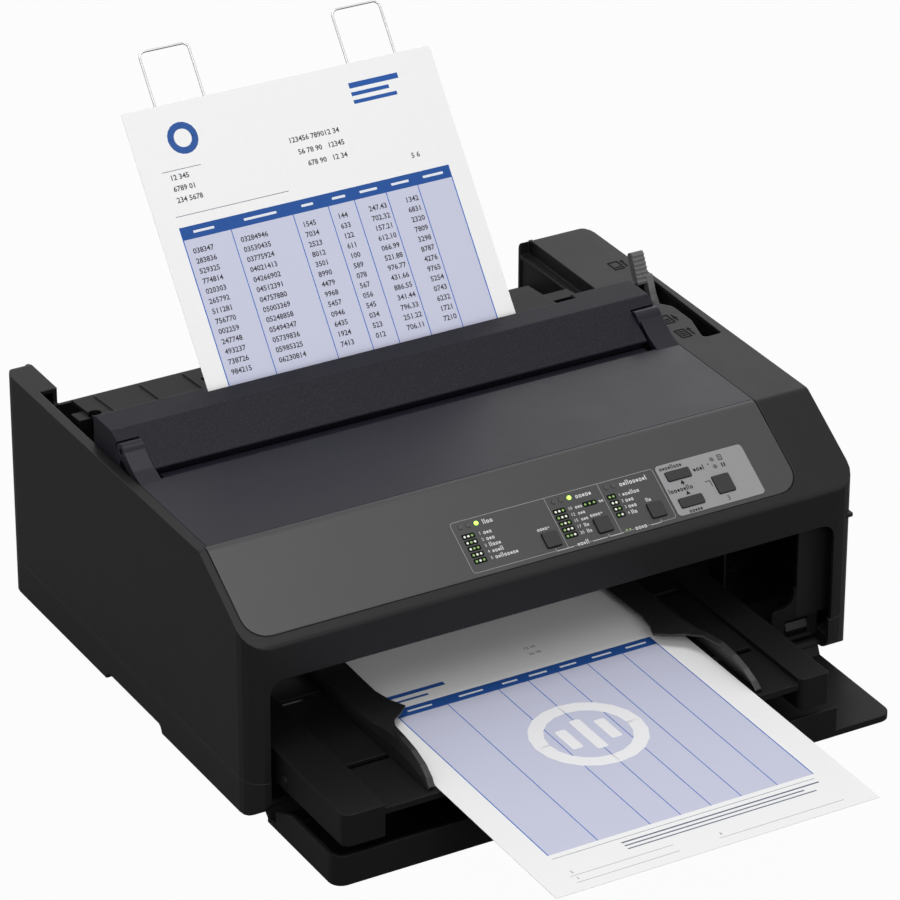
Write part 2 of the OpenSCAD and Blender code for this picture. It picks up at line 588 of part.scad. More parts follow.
module guide_tracks() color(case_grey) for (x = [rail_l[0], rail_l[1] - 2, rail_r[0], rail_r[1] - 2])
    along_x(x, x + 2) difference() {
        polygon([[18, 10], [244, 10], [244, rail_bottom - gap], [18, rail_bottom - gap]]);
        for (y = [30:40:200]) polygon([[y, 12], [y + 30, 12], [y + 30, 20], [y, 20]]);
    }

// ---------------------------------------------------------------- power switch
switch_lo = [161.5, 15.3];
switch_hi = [182.5, 29.2];
rocker_c = [17, 22.2];       // Y and Z of the rocker's axis
rocker_hole = [[164, 16.4], [180, 16.4], [180, 28], [164, 28]];
module switch_housing() color(case_grey) difference() {
    union() {
        // Front plate, which sweeps up to the post beside the opening
        along_y(seat_d, seat_d + 2.5) polygon(rounded([[154, 14.2, 0], [seat_r - 2, 14.2, 0],
            [seat_r - 2, 29.4, 0], [open_r - 0.2, 29.4, 0], [open_r - 0.2, 50, 0],
            [open_r - 1.6, 50, 0], [open_r - 2.6, 37.5, 8], [154, 37.5, 4]]));
        along_y(seat_d, 40) polygon([[154, 14.2], [seat_r - 2, 14.2], [seat_r - 2, 29.4],
            [154, 29.4]]);
        // Foot on the floor, behind the flap's hinge
        box([154, 15, foot_h + floor_t], [seat_r - 2, 40, 15]);
    }
    difference() {
        along_y(16.5, 42) polygon([[156, 12], [185, 12], [185, 27.6], [156, 27.6]]);
        // Frame that carries the rocker
        along_y(16, 26) polygon([[162, 12], [182, 12], [182, 28.6], [162, 28.6]]);
    }
    along_y(seat_d - 1, 30) polygon(rocker_hole);
    rod_x(rocker_c, 1 + run, 162.6, 181.4);
    along_y(seat_d - 1, seat_d + 0.6) polygon(rect(switch_lo, switch_hi, 1));
}
// The rocker stands tilted by rocker_tilt at rest, with its lower half pressed
rocker_tilt = 7;
module power_rocker() color(dark) {
    along_x(164.4, 179.6) translate(rocker_c) rotate(rocker_tilt)
        polygon([[-3.4, -4.6], [-5.4, 0], [-3.4, 4.6], [1, 4], [3, 0], [1, -4]]);
    rod_x(rocker_c, 1, 162.8, 181.2);
}

// ---------------------------------------------------------------- gears
function gear_outline(z, phase) = [for (i = [0:z - 1]) let (p = 360 / z, a = phase + i * p, r = z / 2)
    each [for (q = [[-0.31, r - 1.15], [-0.215, r], [-0.1, r + 0.85], [0.1, r + 0.85],
                    [0.215, r], [0.31, r - 1.15]])
        [q[1] * cos(a + q[0] * p), q[1] * sin(a + q[0] * p)]]];
function frac(v) = v - floor(v);
// Phase of a gear of z2 teeth that meshes with one of z1 teeth in direction a
function mesh_phase(z1, phase1, a, z2) = a + 180 + (frac((a - phase1) * z1 / 360) + 0.5) * 360 / z2;
platen_phase = 0;
idler_phase = mesh_phase(platen_teeth, platen_phase, idler_a, idler_teeth);
tractor_dir = atan2(tractor_c[1] - idler_c[1], tractor_c[0] - idler_c[0]);
tractor_phase = mesh_phase(idler_teeth, idler_phase, tractor_dir, tractor_teeth);
pinion_phase = mesh_phase(platen_teeth, platen_phase, pinion_a, pinion_teeth);
module spur_gear(c, z, phase, bore_r, holes) difference() {
    along_x(gear_x, gear_x + gear_w) translate(c) difference() {
        polygon(gear_outline(z, phase));
        circle(r = bore_r);
        for (i = [0:1:holes - 1]) rotate(i * 360 / holes) translate([z * 0.3, 0]) circle(r = z * 0.09);
    }
}
module platen_gear() color(nylon) spur_gear(platen_c, platen_teeth, platen_phase, 4, 5);
module idler_gear() color(nylon) spur_gear(idler_c, idler_teeth, idler_phase, 3 + run, 6);
module tractor_gear() color(nylon) spur_gear(tractor_c, tractor_teeth, tractor_phase, 3.5, 0);
module motor_pinion() color("goldenrod") {
    spur_gear(pinion_c, pinion_teeth, pinion_phase, 2, 0);
    rod_x(pinion_c, 2, frame_r - 8, gear_x + gear_w);
}
module idler_post() color(steel) rod_x(idler_c, 3, frame_r + frame_t, gear_x + gear_w + 1.5);

// ---------------------------------------------------------------- frames and platen
module frame_outline() difference() {
    polygon(rounded([[56, 10, 0], [104, 10, 0], [104, 16, 0], [195, 16, 0], [195, 10, 0],
        [272, 10, 0], [272, 60, 12], [256, 146, 4], [226, 146, 4], [214, 128, 8], [176, 128, 6],
        [172, 137, 3], [56, 137, 4]]));
    polygon(rounded([[86, 66, 6], [120, 66, 6], [112, 96, 4], [86, 96, 4]]));
    for (y = [72, 118, 164, 210])
        polygon(rounded([[y, 22, 6], [y + 34, 22, 6], [y + 34, 52, 6], [y, 52, 6]]));
}
module left_side_frame() color(steel) along_x(frame_l, frame_l + frame_t) difference() {
    frame_outline();
    translate(platen_c) circle(r = 7);
    translate(tractor_c) circle(r = 3.5 + run);
}
module right_side_frame() color(steel) along_x(frame_r, frame_r + frame_t) difference() {
    frame_outline();
    translate(platen_c) circle(r = 7);
    translate(tractor_c) circle(r = 3.5 + run);
    translate(pinion_c) circle(r = 3);
}
platen_x = [-140, 105];
module platen_roller() color(dark) difference() {
    rod_x(platen_c, platen_r, platen_x[0], platen_x[1]);
    rod_x(platen_c, 4, platen_x[0] - 1, platen_x[1] + 1);
}
module platen_shaft() color(steel) rod_x(platen_c, 4, frame_l - 2, 212);
module platen_bushings() color(nylon) for (x = [frame_l, frame_r - 3.5]) difference() {
    union() {
        rod_x(platen_c, 7, x, x + 5);
        rod_x(platen_c, 8, x < 0 ? frame_l + frame_t : x, x < 0 ? x + 5 : frame_r);
    }
    rod_x(platen_c, 4 + run, x - 1, x + 6);
}
module platen_knob() color(case_grey) difference() {
    translate([half_w + 1, platen_c[0], platen_c[1]]) rotate([0, 90, 0]) difference() {
        union() {
            cylinder(r1 = 14, r2 = 13, h = knob_x1 - half_w - 1);
            translate([0, 0, -5]) cylinder(r = 6.5, h = 6);
        }
        for (i = [0:23]) rotate(i * 15) translate([14.6, 0, 1.6]) cylinder(r = 1.2, h = 20, $fn = 16);
    }
    rod_x(platen_c, 4, 190, 212);
}
module paper_feed_motor() color(steel) difference() {
    union() {
        rod_x(pinion_c, 19.5, frame_r - 32, frame_r - 1.5);
        along_x(frame_r - 1.5, frame_r) polygon([for (i = [0:3], s = [0, 1])
            let (a = i * 90 + 60 + (s * 2 - 1) * 10) pinion_c + 24 * [cos(a), sin(a)]]);
    }
    rod_x(pinion_c, 2 + run, frame_r - 9, frame_r + 1);
}
module paper_chute() color(case_grey) {
    // Behind the platen, under the rear sheet
    along_x(frame_l + frame_t, frame_r) polygon([sheet_p - 31 * along + 2.2 * behind,
        sheet_p - 56 * along + 2.2 * behind, sheet_p - 60 * along + 6 * behind,
        sheet_p - 58 * along + 7 * behind, sheet_p - 52 * along + 4.2 * behind,
        sheet_p - 31 * along + 4.2 * behind]);
    // In front of and under the platen, up from the front guide
    along_x(frame_l + frame_t, frame_r) polygon([[104, 64], [112, 70], [122, 90], [130, 98],
        [128.6, 99.6], [120.4, 91.2], [110.6, 71.4], [103, 66]]);
}

// ---------------------------------------------------------------- tractors
module tractor_shaft() color(steel) rod_x(tractor_c, 3.5, frame_l - 1.5, gear_x + gear_w);
module tractor(x) difference() {
    union() {
        along_x(x, x + 14) polygon(rounded([[200, 92, 10], [246, 92, 12], [246, 119, 12],
            [200, 119, 10]], 8));
        along_x(x - 3, x) polygon(rounded([[196, 90, 8], [250, 90, 8], [250, 123, 8],
            [196, 123, 8]]));
        // Feed pins
        for (i = [0:2]) translate([x + 7, 210 + i * 12.7, 118.5])
            cylinder(r1 = 1.9, r2 = 1, h = 3, $fn = 16);
    }
    rod_x(tractor_c, 3.5 + run, x - 5, x + 20);
    rod_x(support_c, 3 + run, x - 5, x + 20);
}
module left_tractor() color(nylon) tractor(-120);
module right_tractor() color(nylon) tractor(74);

// ---------------------------------------------------------------- carriage
// The carriage's rod, and the rod that steadies the tractors
module guide_rods() color(steel) {
    rod_x(rod_c, rod_r, frame_l + frame_t, frame_r);
    rod_x(support_c, 3, frame_l + frame_t, frame_r);
}
module carriage_rail() color(steel) along_x(frame_l + frame_t, frame_r)
    polygon([[78, 121], [90, 121], [90, 122.5], [79.5, 122.5], [79.5, 134], [78, 134]]);
carriage_x = [-39, 3];
module print_carriage() color(dark) difference() {
    union() {
        along_x(carriage_x[0], carriage_x[1]) polygon(rounded([[84, 101, 3], [124, 101, 3],
            [124, 108, 1], [106, 108, 0], [106, 120.6, 1], [84, 120.6, 1]]));
        // Belt clamp, and the shoe on the rail
        box([carriage_x[0] + 12, 77.3, 113], [carriage_x[1] - 12, 85, 120]);
        box([carriage_x[0] + 8, 81, 122.9], [carriage_x[1] - 8, 100, 126]);
        box([carriage_x[0] + 8, 91, 119], [carriage_x[1] - 8, 100, 126]);
    }
    rod_x(rod_c, rod_r + run, -60, 20);
}
module print_head() color(steel) difference() {
    union() {
        box([-33, 106, 108], [-3, 122, 129]);
        along_x(-27, -9) polygon([[122, 110], [128.6, 115], [128.6, 123], [122, 127]]);
    }
    // Cooling fins
    for (i = [0:6]) box([-34, 104, 110.5 + i * 2.7], [-2, 118, 111.9 + i * 2.7]);
    for (i = [0:2]) box([-30 + i * 9.5, 103, 110], [-28.6 + i * 9.5, 116, 127.5]);
}
module ribbon_cartridge() color(dark) difference() {
    union() {
        translate([0, 0, 137]) linear_extrude(12) polygon(rounded([[-150, 63.5, 6], [112, 63.5, 6],
            [112, 90, 4], [96, 104, 4], [80, 90, 4], [-118, 90, 4], [-134, 104, 4],
            [-150, 90, 4]]));
        box([-196, 68, 137], [-140, 84, 139.5]);
        box([100, 68, 137], [149, 84, 139.5]);
    }
    translate([-60, 77, 146]) cylinder(r = 10, h = 5);
    translate([-60, 77, 138]) cylinder(r = 3 + run, h = 20);
}
module ribbon_knob() color(panel_grey) translate([-60, 77, 0]) difference() {
    union() {
        translate([0, 0, 146.3]) cylinder(r = 9, h = 2.7);
        translate([0, 0, 139]) cylinder(r = 3, h = 8);
    }
    for (i = [0:11]) rotate(i * 30) translate([9.6, 0, 146]) cylinder(r = 1.4, h = 6, $fn = 16);
}
module carriage_motor() color(steel) {
    translate([pulley_xl, belt_y, 68]) cylinder(r = 17, h = 44);
    box([frame_l + frame_t, 56, 112], [pulley_xl + 17, 86, 113.4]);
    // Bracket of the idler pulley, and its post
    box([pulley_xr - 12, 60, 112], [frame_r, 80, 113.4]);
    translate([pulley_xr, belt_y, 113]) cylinder(r = 2, h = 10);
    translate([pulley_xl, belt_y, 113]) cylinder(r = 2, h = 10);
}
module toothed_pulley(x) translate([x, belt_y, 0]) difference() {
    union() {
        translate([0, 0, belt_z[0]]) cylinder(r = pulley_r - 0.2, h = belt_z[1] - belt_z[0]);
        translate([0, 0, belt_z[1] + 0.3]) cylinder(r = pulley_r + 1.5, h = 1.2);
        translate([0, 0, belt_z[1] - 0.1]) cylinder(r = pulley_r - 0.6, h = 0.6);
    }
    translate([0, 0, 100]) cylinder(r = 2 + run, h = 40);
    for (i = [0:11]) rotate(i * 30) translate([pulley_r, 0, belt_z[0] - 1])
        cylinder(r = 0.7, h = belt_z[1] - belt_z[0] + 1.2, $fn = 16);
}
module drive_pulley() color(nylon) toothed_pulley(pulley_xl);
module idler_pulley() color(nylon) toothed_pulley(pulley_xr);
module carriage_belt() color(dark) translate([0, 0, belt_z[0] + 0.3])
    linear_extrude(belt_z[1] - belt_z[0] - 0.6) difference() {
        union() {
            for (x = [pulley_xl, pulley_xr]) translate([x, belt_y]) circle(r = pulley_r + 1);
            translate([pulley_xl, belt_y - pulley_r - 1])
                square([pulley_xr - pulley_xl, 2 * pulley_r + 2]);
        }
        for (x = [pulley_xl, pulley_xr]) translate([x, belt_y]) circle(r = pulley_r);
        translate([pulley_xl, belt_y - pulley_r]) square([pulley_xr - pulley_xl, 2 * pulley_r]);
    }

// ---------------------------------------------------------------- release lever
module release_lever() color(plate_grey) difference() {
    union() {
        // Blade from the pivot up through the slot
        along_x(lever_x, lever_x + 4.5) polygon(rounded([[173, 66, 3], [187, 66, 3], [203, 112, 20],
            [227.4, 151.5, 8], [230.4, 160.5, 1], [225.6, 162.5, 1], [219.8, 150.5, 8],
            [190, 112, 20], [173, 74, 3]]));
        // Grip above the deck, with ribs across its front
        along_x(lever_head[0], lever_head[1]) polygon(rounded([[223.5, 156.4, 0.8],
            [233.3, 175.9, 1.2], [238.2, 173.4, 2], [230.6, 158.2, 1]]));
        for (i = [0:6]) along_x(lever_head[0], lever_head[1])
            translate([224.5 + i * 1.25, 158.4 + i * 2.48]) rotate(-26.7)
                translate([-0.7, 0]) square([2, 1.2]);
    }
    rod_x(lever_c, 3 + run, 185, 202);
}
module lever_pin() color(steel) {
    rod_x(lever_c, 3, lever_x - 0.5, 202.5);
    rod_x(lever_c, 5.5, lever_x + 4.8, 202.5);
}

// ---------------------------------------------------------------- electrics
module main_board() color(board_green) {
    box([-148, 60, 13.6], [58, 228, 15.2]);
    for (p = [[-120, 90, 30, 24], [-70, 84, 22, 22], [-30, 96, 14, 26], [10, 90, 26, 12],
              [-110, 160, 40, 16], [-40, 168, 18, 18], [10, 180, 30, 10]])
        box([p[0], p[1], 15.1], [p[0] + p[2], p[1] + p[3], 18.4]);
    for (i = [0:4]) translate([-130 + i * 14, 210, 15.1]) cylinder(r = 5, h = 8.5);
    box([-20, 66, 15.1], [40, 72, 22]);
}
module power_supply() color(steel) difference() {
    box([-186, 252, 10], [-60, 312, 62]);
    box([-184.5, 253.5, 11.5], [-61.5, 310.5, 63]);
    for (i = [0:10]) box([-176 + i * 11, 250, 30], [-172 + i * 11, 255, 52]);
}
module power_inlet() color(dark) difference() {
    union() {
        along_y(312, body_d + 0.5) polygon(rounded([[-149.5, 36.5, 1], [-122.5, 36.5, 1],
            [-122.5, 57.5, 1], [-149.5, 57.5, 1]]));
        along_y(body_d, body_d + 2) polygon(rect([-153, 34], [-119, 60], 2));
    }
    along_y(315, body_d + 3) polygon(rounded([[-146.5, 39.5, 1], [-125.5, 39.5, 1],
        [-125.5, 50, 1], [-129, 54.5, 1], [-143, 54.5, 1], [-146.5, 50, 1]]));
}
module interface_ports() color(steel) {
    box([14, 299, 10], [114, 300.6, 70]);
    difference() {
        along_y(300.6, body_d + 0.5) polygon(rect([22.5, 40.5], [83.5, 53.5], 2));
        along_y(310, body_d + 3) polygon(rect([25, 42.5], [81, 51.5], 2));
    }
    difference() {
        along_y(300.6, body_d + 0.5) polygon(rect([92.5, 41.5], [105.5, 53.5], 1));
        along_y(310, body_d + 3) polygon(rect([94.5, 43.5], [103.5, 51.5], 1));
    }
}

place() lower_case();
place() upper_case();
place() rubber_feet();
place() control_panel();
place() button_bezel();
place() status_lamps();
place() panel_board();
place() push_button(0);  // font_button
place() push_button(1);  // pitch_button
place() push_button(2);  // tear_off_button
place() push_button(3);  // load_button
place() push_button(4);  // feed_button
place() push_button(5);  // pause_button
place() printer_cover();
place() hood_cover();
place() rear_guide_base();
place() rear_sheet_guide();
place() wire_support(0);  // left_wire_support
place() wire_support(1);  // right_wire_support
place() rear_sheet();
place() front_flap();
place() front_sheet_guide();
place() left_edge_guide();
place() right_edge_guide();
place() front_sheet();
place() guide_tracks();
place() switch_housing();
place() power_rocker();
place() left_side_frame();
place() right_side_frame();
place() platen_roller();
place() platen_shaft();
place() platen_gear();
place() platen_bushings();
place() platen_knob();
place() motor_pinion();
place() paper_feed_motor();
place() idler_gear();
place() idler_post();
place() tractor_shaft();
place() tractor_gear();
place() left_tractor();
place() right_tractor();
place() guide_rods();
place() carriage_rail();
place() print_carriage();
place() print_head();
place() ribbon_cartridge();
place() ribbon_knob();
place() carriage_motor();
place() drive_pulley();
place() idler_pulley();
place() carriage_belt();
place() paper_chute();
place() release_lever();
place() lever_pin();
place() main_board();
place() power_supply();
place() power_inlet();
place() interface_ports();
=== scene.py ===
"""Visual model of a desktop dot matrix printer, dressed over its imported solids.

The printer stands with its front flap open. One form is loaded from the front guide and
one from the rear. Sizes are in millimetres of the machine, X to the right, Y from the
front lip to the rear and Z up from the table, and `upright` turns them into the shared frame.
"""

import logging
import math
from dataclasses import dataclass, field
from enum import Enum

import bmesh
import bpy
from mathutils import Matrix, Quaternion, Vector


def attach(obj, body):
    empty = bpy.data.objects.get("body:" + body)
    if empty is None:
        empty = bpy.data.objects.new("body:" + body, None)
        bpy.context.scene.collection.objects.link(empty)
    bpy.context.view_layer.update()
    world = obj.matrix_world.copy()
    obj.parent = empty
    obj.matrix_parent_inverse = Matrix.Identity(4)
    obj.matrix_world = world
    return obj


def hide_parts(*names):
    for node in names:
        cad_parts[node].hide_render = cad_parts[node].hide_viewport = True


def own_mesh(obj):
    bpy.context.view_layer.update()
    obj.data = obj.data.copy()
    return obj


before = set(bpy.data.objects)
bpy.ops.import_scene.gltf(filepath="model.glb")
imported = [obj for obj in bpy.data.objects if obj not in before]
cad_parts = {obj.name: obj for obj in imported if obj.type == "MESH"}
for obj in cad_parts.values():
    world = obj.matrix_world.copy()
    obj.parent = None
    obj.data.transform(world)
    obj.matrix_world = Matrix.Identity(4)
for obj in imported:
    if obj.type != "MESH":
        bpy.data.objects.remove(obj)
log = logging.getLogger("printer")

MM = 0.001
SHIFT = Vector((-7.0, -68.01, 0.0))
LIP_Z = 118.0
SLOPE = math.atan(37.5 / 58.6)
LEAN = math.radians(38.1)


def upright() -> Matrix:
    """The machine's own axes, in millimetres."""
    return Matrix.Translation(SHIFT * MM) @ Matrix.Scale(MM, 4)


def on_slope() -> Matrix:
    """The plane of the control panel: x across, y up the slope, z out of it."""
    return upright() @ Matrix.Translation((0, 0, LIP_Z)) @ Matrix.Rotation(SLOPE, 4, "X")


def on_rear_sheet() -> Matrix:
    """The front of the rear form: x across, y up the form, z towards the reader."""
    return (upright() @ Matrix.Translation((0, 205.6, 170.6))
            @ Matrix.Rotation(math.pi / 2 - LEAN, 4, "X"))


class Body(Enum):
    """Bodies of the frame that new pieces ride on."""

    CHASSIS = "chassis"
    GUIDE = "front_guide"


# ------------------------------------------------------------------ finishes
class Graph:
    """A node material under construction."""

    def __init__(self, name: str) -> None:
        """Starts the material with its surface shader.

        Args:
            name: Name of the material.
        """
        self.material = bpy.data.materials.new(name)
        self.material.use_nodes = True
        self.tree = self.material.node_tree
        self.shader = self.tree.nodes["Principled BSDF"]
        self.coords = self.tree.nodes.new("ShaderNodeTexCoord")

    def put(self, kind: str, inputs: dict | None = None, **settings: object) -> bpy.types.Node:
        """Adds a node.

        Args:
            kind: Node type without its "ShaderNode" prefix.
            inputs: Values or sockets of its inputs, by name or index.
            settings: Properties of the node.

        Returns:
            The node.
        """
        made = self.tree.nodes.new("ShaderNode" + kind)
        for name, value in settings.items():
            setattr(made, name, value)
        for name, value in (inputs or {}).items():
            if isinstance(value, bpy.types.NodeSocket):
                self.tree.links.new(value, made.inputs[name])
            else:
                made.inputs[name].default_value = value
        return made

    def noise(self, scale: float, detail: float = 2.0, vector: bpy.types.NodeSocket | None = None,
              roughness: float = 0.5) -> bpy.types.NodeSocket:
        """A noise between 0 and 1 in object space, of that many features per metre."""
        return self.put("TexNoise", {"Vector": vector or self.coords.outputs["Object"],
                                     "Scale": scale, "Detail": detail,
                                     "Roughness": roughness}).outputs["Fac"]

    def span(self, value: bpy.types.NodeSocket, start: float, end: float,
             low: float = 0.0, high: float = 1.0) -> bpy.types.NodeSocket:
        """Maps start..end of a value to low..high, clamped."""
        return self.put("MapRange", {"Value": value, "From Min": start, "From Max": end,
                                     "To Min": low, "To Max": high}).outputs["Result"]

    def math(self, how: str, a: object, b: object = 0.0, c: object = 0.0) -> bpy.types.NodeSocket:
        """The result of a Math node."""
        return self.put("Math", {0: a, 1: b, 2: c}, operation=how).outputs[0]

    def mix(self, share: object, a: object, b: object) -> bpy.types.NodeSocket:
        """A mix of two colours."""
        return self.put("Mix", {0: share, 6: a, 7: b}, data_type="RGBA").outputs[2]

    def soft_edges(self, radius: float) -> bpy.types.NodeSocket:
        """The normal of the surface with its edges eased by that radius in metres."""
        return self.put("Bevel", {"Radius": radius}, samples=6).outputs["Normal"]

    def edge_mask(self, normal: bpy.types.NodeSocket) -> bpy.types.NodeSocket:
        """1 on the eased edges and 0 on the faces."""
        faces = self.put("NewGeometry").outputs["Normal"]
        dot = self.put("VectorMath", {0: normal, 1: faces}, operation="DOT_PRODUCT")
        return self.span(dot.outputs["Value"], 0.995, 0.86)

    def bump(self, height: bpy.types.NodeSocket, strength: float, distance: float,
             normal: bpy.types.NodeSocket | None = None) -> bpy.types.NodeSocket:
        """A normal raised by a height."""
        inputs = {"Height": height, "Strength": strength, "Distance": distance}
        if normal is not None:
            inputs["Normal"] = normal
        return self.put("Bump", inputs).outputs["Normal"]

    def wire(self, value: bpy.types.NodeSocket, name: str) -> None:
        """Links a value to an input of the surface shader."""
        self.tree.links.new(value, self.shader.inputs[name])


def shade(colour: tuple, share: float) -> tuple:
    """A colour times a share, with its alpha."""
    return tuple(min(1.0, c * share) for c in colour[:3]) + (1.0,)


@dataclass(frozen=True)
class Moulding:
    """A moulded plastic with a spark-eroded grain, soft edges, and lighter edges that are part
    handling marks, part painted highlight.
    """

    name: str
    colour: tuple[float, float, float]
    roughness: float = 0.46
    grain: float = 1500.0      # bumps of the grain per metre
    depth: float = 0.00007
    strength: float = 0.35
    mottle: float = 0.14       # how far the colour drifts over the piece
    edge: float = 0.0007
    wear_and_sheen: float = 0.5          # share of the lighter edge colour: part wear, part painted highlight
    wear_sheen_lift: float = 2.2        # how much lighter that edge colour is, wear and painted highlight together
    speck: float = 0.0         # share of light specks in a smoked plastic
    specular: float = 0.5

    def build(self) -> bpy.types.Material:
        """Builds the material.

        Returns:
            The material.
        """
        g = Graph(self.name)
        drift = g.noise(9.0, 5.0)
        smear = g.noise(55.0, 6.0, roughness=0.65)
        tint = g.mix(drift, shade(self.colour, 1 - self.mottle), shade(self.colour, 1 + self.mottle))
        eased = g.soft_edges(self.edge)
        # The eased edges get a lighter colour: partly handling wear, partly a painted highlight where
        # rounded edges catch light.
        worn_and_sheen = g.math("MULTIPLY", g.edge_mask(eased), g.span(smear, 0.35, 0.7, 0.25, 1.0))
        tint = g.mix(g.math("MULTIPLY", worn_and_sheen, self.wear_and_sheen), tint, shade(self.colour, self.wear_sheen_lift))
        grain = g.noise(self.grain, 3.0)
        if self.speck:
            flecks = g.span(g.noise(self.grain * 0.9, 2.0), 0.50, 0.66)
            tint = g.mix(g.math("MULTIPLY", flecks, self.speck), tint, shade(self.colour, 2.6))
        g.wire(tint, "Base Color")
        g.wire(g.span(smear, 0.3, 0.7, self.roughness - 0.015, self.roughness + 0.02), "Roughness")
        g.wire(g.bump(grain, self.strength, self.depth, eased), "Normal")
        g.shader.inputs["Specular IOR Level"].default_value = self.specular
        return g.material


@dataclass(frozen=True)
class Metal:
    """A plated, drawn or machined metal with fine lines along one axis."""

    name: str
    colour: tuple[float, float, float]
    roughness: float = 0.3
    lines: tuple[float, float, float] = (60.0, 1800.0, 1800.0)
    edge: float = 0.0003

    def build(self) -> bpy.types.Material:
        """Builds the material.

        Returns:
            The material.
        """
        g = Graph(self.name)
        along = g.put("Mapping", {"Vector": g.coords.outputs["Object"], "Scale": self.lines})
        drawn = g.noise(1.0, 3.0, along.outputs["Vector"])
        cloud = g.noise(30.0, 4.0)
        g.wire(g.mix(cloud, shade(self.colour, 0.86), shade(self.colour, 1.08)), "Base Color")
        g.wire(g.span(drawn, 0.25, 0.75, self.roughness - 0.08, self.roughness + 0.14), "Roughness")
        g.wire(g.bump(drawn, 0.12, 0.00005, g.soft_edges(self.edge)), "Normal")
        g.shader.inputs["Metallic"].default_value = 1.0
        return g.material


@dataclass(frozen=True)
class Ink:
    """Printed ink or paint: a thin film with slightly uneven cover."""

    name: str
    colour: tuple[float, float, float]
    roughness: float = 0.55
    uneven: float = 0.12
    specular: float = 0.5

    def build(self) -> bpy.types.Material:
        """Builds the material.

        Returns:
            The material.
        """
        g = Graph(self.name)
        cover = g.noise(2600.0, 2.0)
        g.wire(g.mix(cover, shade(self.colour, 1 - self.uneven), shade(self.colour, 1 + self.uneven)),
               "Base Color")
        g.wire(g.span(cover, 0.3, 0.7, self.roughness - 0.05, self.roughness + 0.08), "Roughness")
        g.wire(g.bump(cover, 0.1, 0.00002), "Normal")
        g.shader.inputs["Specular IOR Level"].default_value = self.specular
        return g.material


@dataclass(frozen=True)
class Glow:
    """A lamp's lens that glows, a little unevenly."""

    name: str
    colour: tuple[float, float, float]
    power: float

    def build(self) -> bpy.types.Material:
        """Builds the material.

        Returns:
            The material.
        """
        g = Graph(self.name)
        cloud = g.noise(700.0, 2.0)
        g.wire(g.mix(cloud, shade(self.colour, 0.85), shade(self.colour, 1.1)), "Base Color")
        g.wire(g.mix(cloud, shade(self.colour, 0.9), shade(self.colour, 1.2)), "Emission Color")
        g.shader.inputs["Emission Strength"].default_value = self.power
        g.wire(g.span(cloud, 0.3, 0.7, 0.14, 0.24), "Roughness")
        return g.material


@dataclass(frozen=True)
class Form:
    """A printed paper form: fibres, a ruled table, its header bar and its column lines.

    Rectangles are (left, right, top, bottom) from the form's top left corner.
    """

    name: str
    size: tuple[float, float]
    table: tuple[float, float, float, float]
    header: tuple[float, float, float, float]
    columns: tuple[float, ...]
    bars: tuple[tuple[float, float, float, float], ...] = ()
    rules: tuple[tuple[float, float, float, float], ...] = ()
    paper: tuple[float, float, float] = (0.86, 0.86, 0.86)
    wash: tuple[float, float, float] = (0.56, 0.575, 0.715)
    blue: tuple[float, float, float] = (0.012, 0.075, 0.30)

    def build(self) -> bpy.types.Material:
        """Builds the material.

        Returns:
            The material.
        """
        g = Graph(self.name)
        uv = g.put("SeparateXYZ", {0: g.coords.outputs["UV"]})
        across = g.math("MULTIPLY", uv.outputs[0], self.size[0])
        down = g.math("MULTIPLY_ADD", uv.outputs[1], -self.size[1], self.size[1])

        def patch(area: tuple[float, float, float, float]) -> bpy.types.NodeSocket:
            """1 inside a rectangle of the form."""
            left, right, top, bottom = area
            wide = g.math("COMPARE", across, (left + right) / 2, (right - left) / 2)
            return g.math("MULTIPLY", wide,
                          g.math("COMPARE", down, (top + bottom) / 2, (bottom - top) / 2))

        fibre = g.noise(420.0, 6.0, roughness=0.7)
        tint = g.mix(fibre, shade(self.paper, 0.965), shade(self.paper, 1.03))
        tint = g.mix(patch(self.table), tint,
                     g.mix(fibre, shade(self.wash, 0.96), shade(self.wash, 1.04)))
        lines = g.math("ADD", 0.0, 0.0)
        for line in self.columns:
            lines = g.math("MAXIMUM", lines, g.math("COMPARE", across, line, 0.28))
        for line in self.table[:2]:
            lines = g.math("MAXIMUM", lines, g.math("COMPARE", across, line, 0.35))
        tall = g.math("COMPARE", down, (self.header[2] + self.table[3]) / 2,
                      (self.table[3] - self.header[2]) / 2)
        tint = g.mix(g.math("MULTIPLY", lines, tall), tint, shade(self.blue, 1.6))
        tint = g.mix(patch(self.header), tint, shade(self.blue, 1.0))
        for area in self.bars:
            tint = g.mix(patch(area), tint, shade(self.blue, 1.15))
        for area in self.rules:
            tint = g.mix(patch(area), tint, (0.10, 0.12, 0.19, 1.0))
        g.wire(tint, "Base Color")
        g.wire(g.span(fibre, 0.3, 0.7, 0.62, 0.74), "Roughness")
        g.wire(g.bump(fibre, 0.16, 0.00006), "Normal")
        g.shader.inputs["Specular IOR Level"].default_value = 0.3
        return g.material


# The high edge share and lift on these plastics paint a highlight onto their eased edges, on top of
# wear.
CASE = Moulding("charcoal_case", (0.0085, 0.0085, 0.0092), roughness=0.44, mottle=0.04,
                edge=0.0011, wear_and_sheen=0.9, wear_sheen_lift=4.0, specular=0.2)
DARK_CASE = Moulding("charcoal_inner", (0.005, 0.005, 0.0056), roughness=0.5, mottle=0.05,
                     specular=0.15)
TRAY = Moulding("charcoal_tray", (0.005, 0.005, 0.0056), roughness=0.5, edge=0.0009, wear_and_sheen=0.9,
                wear_sheen_lift=4.0, mottle=0.05, specular=0.15)
